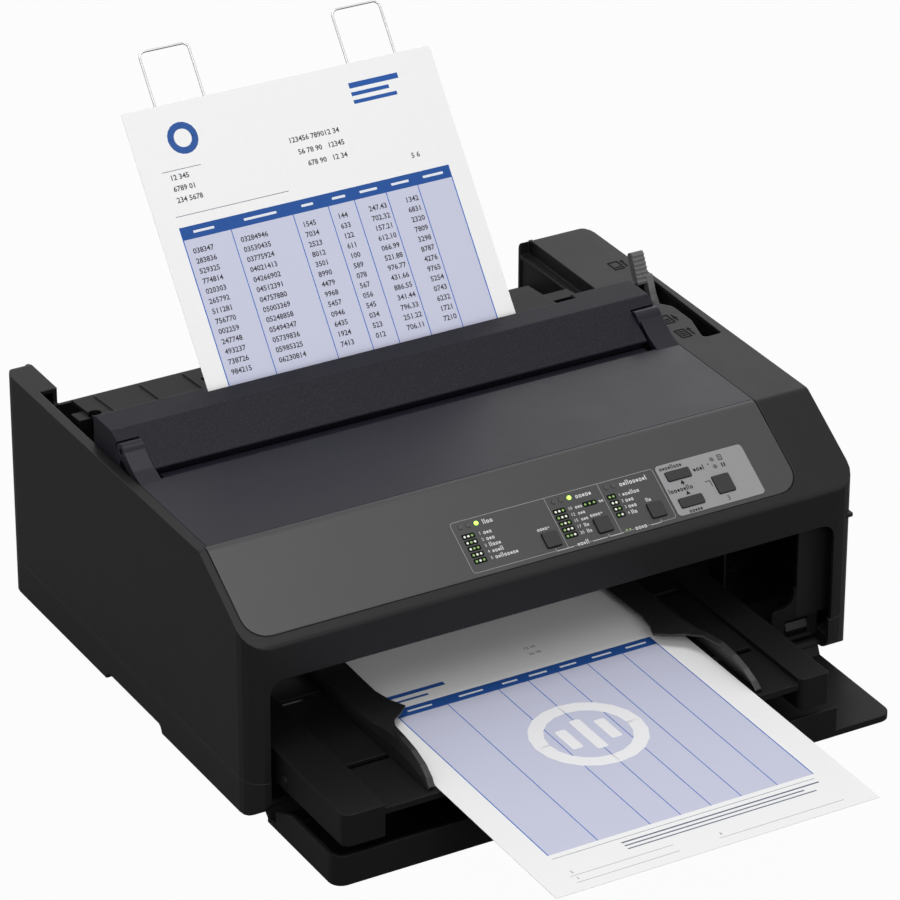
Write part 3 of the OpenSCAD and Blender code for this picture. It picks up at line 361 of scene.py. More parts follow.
# A lighter copy of the case plastic for the edge guides: painted light where their curl catches the
# light.
CURL_LIT = Moulding("charcoal_curl_lit", (0.011, 0.011, 0.012), roughness=0.4, edge=0.0009, wear_and_sheen=0.9,
                wear_sheen_lift=3.0, mottle=0.05, specular=0.5)
PANEL = Moulding("grey_panel", (0.030, 0.030, 0.0315), roughness=0.42, grain=1900.0,
                 strength=0.4, depth=0.00006, mottle=0.03, edge=0.001, wear_and_sheen=0.9, wear_sheen_lift=3.0,
                 specular=0.45)
SMOKED = Moulding("smoked_cover", (0.010, 0.0092, 0.0150), roughness=0.36, grain=2600.0,
                  strength=0.12, depth=0.00003, mottle=0.05, edge=0.0009, wear_sheen_lift=3.5, wear_and_sheen=0.9,
                  speck=0.10, specular=0.22)
# The hood's rims are lifted six times lighter: a painted highlight for their bright edges.
HOOD = Moulding("smoked_hood", (0.0072, 0.0066, 0.0105), roughness=0.5, grain=1300.0,
                strength=0.6, depth=0.00012, mottle=0.06, edge=0.0012, wear_and_sheen=1.0, wear_sheen_lift=6.0,
                speck=0.8, specular=0.15)
FILM = Moulding("bezel_film", (0.25, 0.25, 0.255), roughness=0.45, grain=3000.0,
                strength=0.1, depth=0.00002, mottle=0.05, wear_and_sheen=0.1, edge=0.0002)
BUTTON = Moulding("button_grey", (0.020, 0.020, 0.0213), roughness=0.45, grain=2600.0,
                  strength=0.2, depth=0.00003, wear_and_sheen=0.9, edge=0.0005, wear_sheen_lift=3.0,
                  specular=0.3)
LEVER = Moulding("lever_grey", (0.11, 0.11, 0.113), roughness=0.48)
RUBBER = Moulding("black_rubber", (0.012, 0.012, 0.012), roughness=0.72, grain=900.0,
                  strength=0.3, wear_and_sheen=0.3, specular=0.3)
BLACK = Moulding("black_plastic", (0.006, 0.006, 0.0065), roughness=0.38, specular=0.35)
NYLON = Moulding("natural_nylon", (0.62, 0.60, 0.53), roughness=0.4, mottle=0.05, wear_and_sheen=0.1)
BOARD = Moulding("circuit_board", (0.012, 0.085, 0.035), roughness=0.35, grain=700.0,
                 mottle=0.3, wear_and_sheen=0.6, edge=0.0003)
# Steel darkened to stand for the shade inside the front opening: painted shade on the side frames and
# rail.
SHADE_STEEL = Metal("steel_darkened_for_shade", (0.045, 0.045, 0.05), roughness=0.45)
STEEL = Metal("plated_steel", (0.55, 0.55, 0.56), roughness=0.34)
WIRE = Metal("bright_wire", (0.72, 0.72, 0.74), roughness=0.18)
BRASS = Metal("brass", (0.72, 0.50, 0.22), roughness=0.3)
ALUMINIUM = Metal("cast_head", (0.60, 0.61, 0.62), roughness=0.42)
PALE_INK = Ink("pale_ink", (0.58, 0.58, 0.59))
DIM_INK = Ink("dim_ink", (0.27, 0.27, 0.275))
BLACK_INK = Ink("black_ink", (0.008, 0.008, 0.009), roughness=0.7, specular=0.12)
PAPER_INK = Ink("paper_white", (0.84, 0.84, 0.86), roughness=0.7)
WINDOW_INK = Ink("window_green", (0.003, 0.006, 0.002), roughness=0.7, specular=0.06)
LEAF_INK = Ink("leaf_dot", (0.26, 0.42, 0.13))
WHITE_INK = Ink("white_dot", (0.82, 0.85, 0.76))
TONER = Ink("ribbon_print", (0.035, 0.035, 0.045), roughness=0.7)
HEAD_INK = Ink("header_print", (0.75, 0.78, 0.84), roughness=0.7)
BLUE_INK = Ink("blue_print", (0.012, 0.075, 0.30), roughness=0.7)
LIT = Glow("lit_lamp", (0.42, 0.95, 0.10), 1.5)
UNLIT = Moulding("unlit_lamp", (0.045, 0.05, 0.042), roughness=0.25, wear_and_sheen=0.2, edge=0.0003)
GREY_LAMP = Moulding("grey_lamp", (0.09, 0.095, 0.09), roughness=0.3, wear_and_sheen=0.2, edge=0.0003)


class Finishes:
    """Builds each finish once."""

    def __init__(self) -> None:
        """Starts with none built."""
        self.made: dict[str, bpy.types.Material] = {}

    def of(self, finish: object) -> bpy.types.Material:
        """The material of a finish."""
        if finish.name not in self.made:
            self.made[finish.name] = finish.build()
        return self.made[finish.name]

    def dress(self, piece: bpy.types.Object, *finishes: object) -> None:
        """Gives a piece its finishes, in the order of its material slots."""
        piece.data.materials.clear()
        for finish in finishes:
            piece.data.materials.append(self.of(finish))

    def dress_node(self, name: str, finish: object) -> None:
        """Gives a solid of the frame its finish in every slot."""
        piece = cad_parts[name]
        material = self.of(finish)
        if not piece.material_slots:
            piece.data.materials.append(material)
        for holder in piece.material_slots:
            holder.material = material


# ------------------------------------------------------------------ workbench
class Bench:
    """Blender's modelling operators for pieces given in millimetres of a plane."""

    @staticmethod
    def clear() -> None:
        """Leaves edit mode and deselects everything."""
        if bpy.context.object is not None and bpy.context.object.mode != "OBJECT":
            bpy.ops.object.mode_set(mode="OBJECT")
        bpy.ops.object.select_all(action="DESELECT")

    @staticmethod
    def pick(piece: bpy.types.Object) -> None:
        """Makes one piece the selected and active one."""
        Bench.clear()
        piece.select_set(True)
        bpy.context.view_layer.objects.active = piece

    @staticmethod
    def settle(piece: bpy.types.Object, plane: Matrix) -> bpy.types.Object:
        """Puts a piece of a plane into place, with its place in its mesh.

        Args:
            piece: Piece modelled in the plane's own millimetres.
            plane: Plane that it stands in.

        Returns:
            The piece.
        """
        Bench.pick(piece)
        bpy.ops.object.transform_apply(location=True, rotation=True, scale=True)
        piece.matrix_world = plane
        bpy.context.view_layer.update()
        bpy.ops.object.transform_apply(location=True, rotation=True, scale=True)
        return piece

    @staticmethod
    def slab(name: str, plane: Matrix, middle: tuple[float, float], size: tuple[float, float],
             base: float, height: float, corner: float = 0.0, rim: float = 0.0,
             turn: float = 0.0) -> bpy.types.Object:
        """A flat piece on a plane, with rounded corners, or only its rim.

        Args:
            name: Name of the piece.
            plane: Plane that it lies on.
            middle: Its middle in the plane.
            size: Width and height.
            base: Height of its underside above the plane.
            height: Its thickness.
            corner: Radius of its corners.
            rim: Width of the rim that is left of it, or 0 for the whole piece.
            turn: Turn in its plane, in degrees.

        Returns:
            The piece.
        """
        Bench.clear()
        bpy.ops.mesh.primitive_plane_add(size=1, location=(middle[0], middle[1], base),
                                         rotation=(0, 0, math.radians(turn)))
        piece = bpy.context.object
        piece.name = name
        piece.scale = (size[0], size[1], 1)
        bpy.ops.object.transform_apply(location=True, rotation=True, scale=True)
        bpy.ops.object.mode_set(mode="EDIT")
        bpy.ops.mesh.select_all(action="SELECT")
        if corner:
            bpy.ops.mesh.bevel(offset=corner, affect="VERTICES", segments=5)
        if rim:
            bpy.ops.mesh.select_all(action="SELECT")
            bpy.ops.mesh.inset(thickness=rim)
            bpy.ops.mesh.delete(type="FACE")
        bpy.ops.mesh.select_all(action="SELECT")
        bpy.ops.mesh.extrude_region_move(TRANSFORM_OT_translate={"value": (0, 0, height)})
        bpy.ops.mesh.select_all(action="SELECT")
        bpy.ops.mesh.normals_make_consistent(inside=False)
        bpy.ops.object.mode_set(mode="OBJECT")
        return Bench.settle(piece, plane)

    @staticmethod
    def disc(name: str, plane: Matrix, middle: tuple[float, float], radius: float, base: float,
             height: float, sides: int = 20, dome: float = 0.0) -> bpy.types.Object:
        """A round piece that stands on a plane, with its top edge eased.

        Args:
            name: Name of the piece.
            plane: Plane that it stands on.
            middle: Its middle in the plane.
            radius: Its radius.
            base: Height of its underside above the plane.
            height: Its height.
            sides: Number of its sides; 3 makes an arrowhead.
            dome: How far its top edge is eased.

        Returns:
            The piece.
        """
        Bench.clear()
        bpy.ops.mesh.primitive_cylinder_add(vertices=sides, radius=radius, depth=height,
                                            location=(middle[0], middle[1], base + height / 2))
        piece = bpy.context.object
        piece.name = name
        bpy.ops.object.transform_apply(location=True, rotation=True, scale=True)
        if dome:
            bpy.ops.object.mode_set(mode="EDIT")
            bpy.ops.mesh.select_all(action="DESELECT")
            bm = bmesh.from_edit_mesh(piece.data)
            for edge in bm.edges:
                edge.select = all(v.co.z > base + height * 0.9 for v in edge.verts)
            bmesh.update_edit_mesh(piece.data)
            bpy.ops.mesh.bevel(offset=dome, segments=3, affect="EDGES")
            bpy.ops.object.mode_set(mode="OBJECT")
            bpy.ops.object.shade_smooth_by_angle(angle=math.radians(40))
        return Bench.settle(piece, plane)

    @staticmethod
    def words(name: str, plane: Matrix, corner: tuple[float, float], lines: str, size: float,
              base: float, height: float = 0.05, spacing: float = 1.0,
              align: str = "LEFT", bold: float = 0.0) -> bpy.types.Object:
        """Plain numbers printed on a plane.

        Args:
            name: Name of the piece.
            plane: Plane that they are printed on.
            corner: Start of the first line.
            lines: The numbers, one line each.
            size: Size of the type.
            base: Height above the plane.
            height: Thickness of the print.
            spacing: Pitch of the lines, in sizes.
            align: Side that the lines are aligned to.
            bold: How far the strokes are widened to each side.

        Returns:
            The piece.
        """
        Bench.clear()
        bpy.ops.object.text_add(location=(corner[0], corner[1], base))
        text = bpy.context.object
        text.data.body = lines
        text.data.size = size
        text.data.resolution_u = 2
        text.data.extrude = height / 2
        text.data.offset = bold
        text.data.space_line = spacing
        text.data.align_x = align
        bpy.ops.object.convert(target="MESH")
        piece = bpy.context.object
        piece.name = name
        return Bench.settle(piece, plane)

    @staticmethod
    def copies(first: bpy.types.Object, moves: list[Vector]) -> list[bpy.types.Object]:
        """Copies of a piece, each with its own mesh, moved by metres of the frame."""
        made = []
        for number, move in enumerate(moves):
            other = first.copy()
            other.data = first.data.copy()
            other.name = f"{first.name}_{number}"
            other.data.transform(Matrix.Translation(move))
            bpy.context.scene.collection.objects.link(other)
            made.append(other)
        return made

    @staticmethod
    def join(name: str, pieces: list[bpy.types.Object]) -> bpy.types.Object:
        """Joins pieces, with their finishes, into one."""
        Bench.clear()
        for piece in pieces:
            piece.select_set(True)
        bpy.context.view_layer.objects.active = pieces[0]
        bpy.ops.object.join()
        made = bpy.context.object
        made.name = name
        return made


@dataclass
class SubAssembly:
    """A group of pieces that are built and dressed together."""

    finishes: Finishes

    def add(self, piece: bpy.types.Object, body: Body, slot: str, *finishes: object
            ) -> bpy.types.Object:
        """Dresses a new piece and lets it ride on its body.

        Args:
            piece: The piece, in place.
            body: Body that it rides on.
            slot: Material slot of the record; not used.
            finishes: Its finishes, or none if it has them.

        Returns:
            The piece.
        """
        if finishes:
            self.finishes.dress(piece, *finishes)
        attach(piece, body.value)
        log.info("built %s on %s", piece.name, body.value)
        return piece

    def dress_nodes(self, finish: object, *names: str) -> None:
        """Gives solids of the frame one finish."""
        for name in names:
            self.finishes.dress_node(name, finish)
            log.info("dressed %s", name)


@dataclass
class CaseShell(SubAssembly):
    """The case, its feet, and the raised pictures of the paper ways on its shoulder."""

    top: float = 155.5
    stroke: float = 0.9

    def build(self) -> None:
        """Builds and dresses the case."""
        self.dress_nodes(CASE, "lower_case", "upper_case", "platen_knob")
        self.dress_nodes(RUBBER, "rubber_feet")
        self.pictures()

    def pictures(self) -> None:
        """Three small dark pictures: a sheet with an arrow, once for each paper way."""
        spots = [(193.5, 258.0, 0), (181.0, 178.0, 1), (180.0, 157.0, 2)]
        parts: list[bpy.types.Object] = []
        for x, y, kind in spots:
            parts.append(Bench.slab("sheet", upright(), (x - 1.6, y), (7.4, 11), self.top - 0.05,
                                    0.3, 0.6, self.stroke))
            parts.append(Bench.slab("shaft", upright(), (x + 4.4, y), (self.stroke, 8),
                                    self.top - 0.05, 0.3))
            parts.append(Bench.disc("head", upright(), (x + 4.4, y + 4.0 * (1 - kind % 2)), 1.7,
                                    self.top - 0.05, 0.3, 3))
            for row in range(kind + 1):
                parts.append(Bench.slab("line", upright(), (x - 1.6, y - 2.4 + row * 2.4),
                                        (3.8, 0.7), self.top - 0.05, 0.3))
        self.add(Bench.join("paper_way_pictures", parts), Body.CHASSIS, "case_plastic", BLACK_INK)


@dataclass
class ControlPanel(SubAssembly):
    """The slanted panel: its printed frame, lamp windows, numbers and light film."""

    left: float = -54.2
    right: float = 82.8
    low: float = 10.4
    high: float = 45.2
    dividers: tuple[float, ...] = (9.0, 45.0)
    first_row: float = 34.4
    row_pitch: float = 4.2
    dot_pitch: float = 2.45
    proud: float = 0.02
    film: float = 0.3
    dot: float = 0.76
    dot_base: float = 0.05
    # The groove values place a black ring of painted shade down in the groove.
    groove_box: tuple[float, float, float, float] = (-200.35, 168.35, 6.85, 62.0)
    groove_wide: float = 0.7
    groove_low: float = -1.9
    groove_tall: float = 1.6
    groove_corner: float = 14.0

    def build(self) -> None:
        """Builds and dresses the panel."""
        self.dress_nodes(PANEL, "control_panel")
        self.dress_nodes(BOARD, "panel_board", "main_board")
        self.dress_nodes(BUTTON, "font_button", "pitch_button", "tear_off_button", "load_button",
                         "feed_button", "pause_button")
        self.dress_nodes(FILM, "button_bezel")
        self.dress_nodes(UNLIT, "status_lamps")
        self.groove()
        self.lenses()
        self.frame_lines()
        self.windows()
        self.numbers()
        self.film_marks()

    def mark(self, name: str, middle: tuple[float, float], size: tuple[float, float],
             base: float | None = None, corner: float = 0.0, rim: float = 0.0,
             height: float = 0.05) -> bpy.types.Object:
        """A printed mark on the panel."""
        return Bench.slab(name, on_slope(), middle, size, self.proud if base is None else base,
                          height, corner, rim)

    def strokes(self, x: float, v: float, count: int, size: float, base: float | None = None
                ) -> list[bpy.types.Object]:
        """A row of plain marks that stands for a caption: bars, boxes and rings.

        Args:
            x: Left end of the row.
            v: Middle of the row.
            count: Number of marks.
            size: Height of the bars.
            base: Height above the panel.

        Returns:
            The marks.
        """
        made, thin, low = [], size * 0.17, size * 0.66
        for place in range(count):
            kind = (place * 5 + count * 3 + int(abs(v) * 10)) % 7
            if kind in (0, 2):
                wide, parts = size * 0.2, [(0.0, v, thin, size)]
            elif kind in (1, 4):
                wide, parts = size * 0.44, [(0.0, v - 0.17 * size, size * 0.42, low * 0.8)]
            else:
                wide, parts = size * 0.52, []
                made.append(self.mark("ring", (x + wide / 2, v - 0.17 * size),
                                      (size * 0.52, low), base, size * 0.2, thin))
            for dx, y, w, h in parts:
                made.append(self.mark("stroke", (x + wide / 2 + dx, y), (w, h), base))
            x += wide + size * 0.17
        return made

    def groove(self) -> None:
        """A black ring down in the groove round the panel: painted shade for the groove's dark depth.
        """
        left, right, low, high = self.groove_box
        ring = self.mark("panel_groove_shade", ((left + right) / 2, (low + high) / 2),
                         (right - left, high - low), self.groove_low, self.groove_corner,
                         self.groove_wide, self.groove_tall)
        # The ring is black ink standing for the shade at the bottom of the groove.
        self.add(ring, Body.CHASSIS, "case_plastic", BLACK_INK)

    def lenses(self) -> None:
        """The two lit lamps' lenses."""
        for name, x in (("font_lamp_lens", -38.1), ("pitch_lamp_lens", 24.3)):
            lens = Bench.disc(name, on_slope(), (x, 41.1), 1.42, -0.2, 0.75, 24, 0.35)
            self.add(lens, Body.CHASSIS, "lamp", LIT)

    def frame_lines(self) -> None:
        """The printed outline with its two dividers and the bracket lines under the buttons."""
        middle = ((self.left + self.right) / 2, (self.low + self.high) / 2)
        size = (self.right - self.left, self.high - self.low)
        parts = [self.mark("outline", middle, size, corner=2.0, rim=0.32)]
        for x in self.dividers:
            parts.append(self.mark("divider", (x, middle[1]), (0.32, size[1] - 0.4)))
        for x in (1.0, 36.6, 72.4):
            parts.append(self.mark("stub", (x, self.low + 0.9), (0.4, 1.6)))
        self.add(Bench.join("panel_outline", parts), Body.CHASSIS, "bezel_plastic", DIM_INK)

    def windows(self) -> None:
        """The dark windows with their rows of dots that show each setting."""
        patterns = {
            -46.4: ("wwl", "wlw", "wll", "lww", "lwl"),
            14.5: ("wwl", "lww", "lwl", "lww", "llw"),
            50.0: ("ll", "ww", "wl", "lw"),
        }
        back, leaf, white = [], [], []
        for x, rows in patterns.items():
            for number, row in enumerate(rows):
                v = self.first_row - number * self.row_pitch
                wide = self.dot_pitch * (len(row) - 1) + 3.6
                back.append(self.mark("window", (x, v), (wide, 3.5), corner=0.9, height=0.03))
                for place, kind in enumerate(row):
                    u = x + (place - (len(row) - 1) / 2) * self.dot_pitch
                    dot = Bench.disc("dot", on_slope(), (u, v), self.dot, self.dot_base, 0.05, 12)
                    (white if kind == "w" else leaf).append(dot)
        for u in (31.9, 34.9, 37.9):
            leaf.append(Bench.disc("dot", on_slope(), (u, 34.2), 0.74, 0.05, 0.05, 12))
        back.append(self.mark("window", (34.9, 34.2), (9.4, 3.4), corner=0.9, height=0.03))
        for u in (48.8, 51.2):
            leaf.append(Bench.disc("dot", on_slope(), (u, 11.4), 0.6, 0.05, 0.05, 12))
        self.add(Bench.join("lamp_windows", back), Body.CHASSIS, "bezel_plastic", WINDOW_INK)
        self.add(Bench.join("leaf_dots", leaf), Body.CHASSIS, "lamp", LEAF_INK)
        self.add(Bench.join("white_dots", white), Body.CHASSIS, "lamp", WHITE_INK)

    def numbers(self) -> None:
        """Plain numbers beside the rows, and plain marks for the captions."""
        spacing = self.row_pitch / 2.9
        parts = []
        for name, x, lines in (("font_rows", -39.6, "1\n2\n3\n4\n5"),
                               ("pitch_rows", 20.2, "10\n12\n15\n17\n20"),
                               ("bin_rows", 54.6, "1\n2\n3\n4")):
            parts.append(Bench.words(name, on_slope(), (x, self.first_row - 1.05), lines, 2.9,
                                     self.proud + 0.03, spacing=spacing))
        for x, count in ((-34.0, 4), (28.4, 5), (58.4, 10)):
            parts += self.strokes(x, 41.0, count, 3.3)
        for x, count in ((-4.4, 4), (31.4, 4), (69.4, 3)):
            parts += self.strokes(x, 26.6, count, 2.6)
        for x in (3.2, 39.0):
            parts.append(Bench.disc("arrow", on_slope(), (x, 26.5), 0.75, self.proud, 0.05, 3))
        for number, count in enumerate((3, 3, 5, 5, 9)):
            parts += self.strokes(-36.6, self.first_row - number * self.row_pitch, count, 2.9)
        for number in range(5):
            parts += self.strokes(25.0, self.first_row - number * self.row_pitch, 3, 2.5)
        for number, count in enumerate((7, 3, 3, 3)):
            parts += self.strokes(57.2, self.first_row - number * self.row_pitch, count, 2.9)
        parts += self.strokes(41.0, 34.2, 2, 2.4)
        for x, count in ((15.4, 5), (54.6, 4)):
            parts += self.strokes(x, 11.2, count, 3.0)
        for x, wide in ((7.0, 11.0), (30.4, 9.6), (41.6, 9.0), (68.4, 7.0)):
            parts.append(self.mark("bracket", (x, 10.4), (wide, 0.6)))
        self.add(Bench.join("panel_numbers", parts), Body.CHASSIS, "bezel_plastic", PALE_INK)

    def film_marks(self) -> None:
        """Dark signs on the light film: arrows, a sheet, two pause bars, plain marks, a number."""
        base = self.film + 0.01
        parts = [Bench.disc("up", on_slope(), (97.0, 31.2), 1.7, base, 0.05, 3),
                 Bench.disc("down", on_slope(), (97.0, 23.6), 1.7, base, 0.05, 3)]
        for v in (30.0, 24.6):
            parts.append(self.mark("stem", (97.0, v), (0.5, 1.6), base))
        parts.append(self.mark("sheet", (127.4, 40.6), (3.0, 3.8), base, 0.4, 0.45))
        parts.append(self.mark("line", (127.4, 41.2), (1.4, 0.4), base))
        parts.append(self.mark("line", (127.4, 40.0), (1.4, 0.4), base))
        for dx in (0.0, 1.6):
            parts.append(self.mark("pause", (126.6 + dx, 35.5), (0.8, 2.8), base))
        for x, v, count, size in ((86.8, 43.1, 9, 2.9), (92.2, 12.3, 5, 2.8), (85.6, 27.4, 9, 3.3),
                                  (107.4, 37.4, 4, 3.4)):
            parts += self.strokes(x, v, count, size, base)
        parts.append(Bench.disc("point", on_slope(), (118.2, 38.2), 0.5, base, 0.05, 12))
        parts.append(self.mark("link", (112.4, 27.6), (3.2, 0.45), base))
        parts.append(self.mark("link", (114.0, 25.6), (0.45, 4.0), base))
        parts.append(Bench.words("seconds", on_slope(), (119.2, 12.3), "3", 4.4, base))
        self.add(Bench.join("film_marks", parts), Body.CHASSIS, "bezel_plastic", BLACK_INK)
        rings = [Bench.disc("ring", on_slope(), (121.9, v), 1.42, -0.1, 0.55, 20, 0.2)
                 for v in (40.6, 35.6)]
        self.add(Bench.join("film_lamps", rings), Body.CHASSIS, "lamp", GREY_LAMP)


@dataclass
class Covers(SubAssembly):
    """The hinged cover over the print way and the raised hood behind it."""

    def build(self) -> None:
        """Dresses the covers."""
        self.dress_nodes(SMOKED, "printer_cover")
        self.dress_nodes(HOOD, "hood_cover")


@dataclass
class RearGuides(SubAssembly):
    """The rear plate, the tilting guide and its two wire loops."""

    def build(self) -> None:
        """Dresses the guides."""
        self.dress_nodes(DARK_CASE, "rear_guide_base")
        self.dress_nodes(CASE, "rear_sheet_guide")
        self.dress_nodes(WIRE, "left_wire_support", "right_wire_support")


@dataclass
class Forms(SubAssembly):
    """The two loaded forms, each with its printed rows."""

    width: float = 211.0
    thick: float = 0.3
    row: float = 6.35
    type_size: float = 4.6
    weight: float = 0.09

    def build(self) -> None:
        """Builds both forms."""
        self.rear_form()
        self.front_form()

    def blank(self, name: str, plane: Matrix, left: float, low: float, length: float,
              base: float) -> bpy.types.Object:
        """A sheet of paper with a map of its surface.

        Args:
            name: Name of the piece.
            plane: Plane that it lies in.
            left: Its left edge.
            low: Its lower edge.
            length: Its length.
            base: Height of its underside above the plane.

        Returns:
            The sheet.
        """
        Bench.clear()
        bpy.ops.mesh.primitive_plane_add(size=1, location=(left + self.width / 2,
                                                           low + length / 2, base))
        piece = bpy.context.object
        piece.name = name
        piece.scale = (self.width, length, 1)
        bpy.ops.object.transform_apply(location=True, rotation=True, scale=True)
        bpy.ops.object.mode_set(mode="EDIT")
        bpy.ops.mesh.select_all(action="SELECT")
        bpy.ops.mesh.subdivide(number_cuts=24)
        bpy.ops.mesh.extrude_region_move(TRANSFORM_OT_translate={"value": (0, 0, self.thick)})
        bpy.ops.mesh.select_all(action="SELECT")
        bpy.ops.mesh.normals_make_consistent(inside=False)
        bpy.ops.object.mode_set(mode="OBJECT")
        return Bench.settle(piece, plane)

    def rows(self, plane: Matrix, top: float, left: float, base: float, count: int,
             columns: list[tuple[float, str, int]]) -> list[bpy.types.Object]:
        """Columns of plain numbers, one line for each row of the table.

        Args:
            plane: Plane of the form.
            top: Height of the first row.
            left: Left edge of the form.
            base: Height above the plane.
            count: Number of rows.
            columns: Place, alignment and number of digits of each column.

        Returns:
            The printed columns.
        """
        made = []
        for place, (x, align, digits) in enumerate(columns):
            lines = []
            for line in range(count):
                value = (line * 7919 + place * 104729 + 1237) * 31 % 10 ** digits
                text = f"{value:0{digits}d}"
                lines.append(f"{text[:-2]}.{text[-2:]}" if digits == 5 else text)
            made.append(Bench.words("column", plane, (left + x, top), "\n".join(lines),
                                    self.type_size, base, 0.03, self.row / self.type_size, align,
                                    self.weight))
            self.finishes.dress(made[-1], TONER)
        return made

    def rear_form(self) -> None:
        """The form in the rear guide: its upper part shows over the hood."""
        plane, left, low, length, top = on_rear_sheet(), -123.0, -76.0, 250.0, 174.0
        sheet = self.blank("rear_form", plane, left, low, length, -0.32)
        self.finishes.dress(sheet, Form(
            "rear_form_print", (self.width, length), (14.0, 198.0, 83.0, 300.0),
            (14.0, 198.0, 75.0, 83.0), (46.0, 88.0, 112.0, 130.0, 152.0, 174.0),
            bars=((150.0, 184.0, 12.0, 15.5), (150.0, 176.0, 18.0, 20.4), (150.0, 180.0, 23.0, 25.4)),
            rules=((14.0, 40.0, 40.0, 40.4), (14.0, 90.0, 68.0, 68.4))))
        front = 0.0
        parts = [sheet]
        ring = Bench.slab("emblem", plane, (left + 34, top - 22), (20, 20), front, 0.03, 9.9, 4.2)
        self.finishes.dress(ring, BLUE_INK)
        parts.append(ring)
        parts += self.rows(plane, top - 92.0, left, front, 13,
                           [(18, "LEFT", 6), (50, "LEFT", 8), (92, "LEFT", 4), (116, "LEFT", 3),
                            (150, "RIGHT", 5), (172, "RIGHT", 4)])
        for x, y, text in ((18, 46, "12 345"), (18, 53, "6789 01"), (18, 60, "234 5678"),
                           (100, 40, "123456 789012 34"), (104, 48, "56 78 90   12345"),
                           (108, 56, "678 90   12 34"), (176, 66, "5 6")):
            line = Bench.words("note", plane, (left + x, top - y), text,
                               self.type_size, front, 0.03, bold=self.weight)
            self.finishes.dress(line, TONER)
            parts.append(line)
        for x, wide in ((22, 14), (56, 22), (95, 8), (116, 9), (135, 12), (157, 12), (179, 14)):
            head = Bench.slab("head", plane, (left + x + wide / 2, top - 79), (wide, 1.5), front,
                              0.03, 0.3)
            self.finishes.dress(head, HEAD_INK)
            parts.append(head)
        piece = self.add(Bench.join("rear_form", parts), Body.CHASSIS, "paper")
        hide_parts("rear_sheet")

    def front_form(self) -> None:
        """The form in the front guide."""
        plane, left, low, length, top = upright(), -124.0, -203.0, 297.0, 94.0
        level = 44.8
        sheet = self.blank("front_form", plane, left, low, length, level)
        self.finishes.dress(sheet, Form(
            "front_form_print", (self.width, length), (18.0, 192.0, 90.0, 258.0),
            (18.0, 192.0, 81.0, 90.0), (50.0, 84.0, 104.0, 124.0, 144.0, 168.0),
            bars=((18.0, 60.0, 66.0, 69.5), (18.0, 46.0, 73.0, 75.0)),
            rules=((18.0, 190.0, 262.0, 262.4), (60.0, 190.0, 266.0, 267.2),
                   (60.0, 178.0, 269.5, 270.6), (60.0, 184.0, 273.0, 274.0),
                   (18.0, 84.0, 282.0, 282.3), (18.0, 84.0, 289.0, 289.3),
                   (110.0, 192.0, 289.0, 289.3))))
        front = level + self.thick + 0.01
        parts = [sheet]
        emblem = [Bench.slab("emblem", plane, (left + 104, top - 158), (70, 70), front, 0.02, 34.5,
                             9.0)]
        for dx, tall in ((-13, 22), (0, 34), (13, 22)):
            emblem.append(Bench.slab("bar", plane, (left + 104 + dx, top - 158), (7, tall), front,
                                     0.02, 1.5))
        for piece in emblem:
            self.finishes.dress(piece, PAPER_INK)
        parts += emblem
        for x, wide in ((26, 16), (60, 16), (89, 10), (107, 12), (128, 11), (150, 13), (173, 14)):
            head = Bench.slab("head", plane, (left + x + wide / 2, top - 85.5), (wide, 1.6), front,
                              0.03, 0.3)
            self.finishes.dress(head, HEAD_INK)
            parts.append(head)
        for x, y, text in ((20, 286.5, "1"), (20, 279.5, "2"), (112, 286.5, "3"),
                           (120, 58, "12 34"), (120, 65, "56 78")):
            line = Bench.words("note", plane, (left + x, top - y), text, 3.4, front, 0.03)
            self.finishes.dress(line, TONER)
            parts.append(line)
        piece = self.add(Bench.join("front_form", parts), Body.GUIDE, "paper")
        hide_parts("front_sheet")
        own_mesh(piece)


@dataclass
class FrontTray(SubAssembly):
    """The flap, the sliding sheet guide and its edge guides."""

    def build(self) -> None:
        """Dresses the tray."""
        self.dress_nodes(TRAY, "front_flap", "front_sheet_guide")
        # The edge guides take the lighter copy of the case plastic: painted light on their curl.
        self.dress_nodes(CURL_LIT, "left_edge_guide", "right_edge_guide")
        self.dress_nodes(DARK_CASE, "guide_tracks", "switch_housing")
        self.dress_nodes(BLACK, "power_rocker")


@dataclass
class Mechanism(SubAssembly):
    """The paper drive, the tractors and the print carriage."""

    def build(self) -> None:
        """Dresses the mechanism."""
        self.dress_nodes(STEEL, "platen_shaft", "paper_feed_motor", "idler_post",
                         "tractor_shaft", "guide_rods", "carriage_motor", "lever_pin")
        # The side frames and rail get the darkened steel: painted shade inside the opening.
        self.dress_nodes(SHADE_STEEL, "left_side_frame", "right_side_frame", "carriage_rail")
        self.dress_nodes(ALUMINIUM, "print_head")
        self.dress_nodes(RUBBER, "platen_roller", "carriage_belt")
        self.dress_nodes(NYLON, "platen_gear", "platen_bushings", "idler_gear", "tractor_gear",
                         "left_tractor", "right_tractor", "drive_pulley", "idler_pulley")
        self.dress_nodes(BRASS, "motor_pinion")
        self.dress_nodes(BLACK, "print_carriage", "ribbon_cartridge")
        self.dress_nodes(BUTTON, "ribbon_knob")
        self.dress_nodes(DARK_CASE, "paper_chute")
        self.dress_nodes(LEVER, "release_lever")


@dataclass
class Electrics(SubAssembly):
    """The power supply, the inlet and the sockets."""

    def build(self) -> None:
        """Dresses the electrics."""
        self.dress_nodes(STEEL, "power_supply", "interface_ports")
        self.dress_nodes(BLACK, "power_inlet")


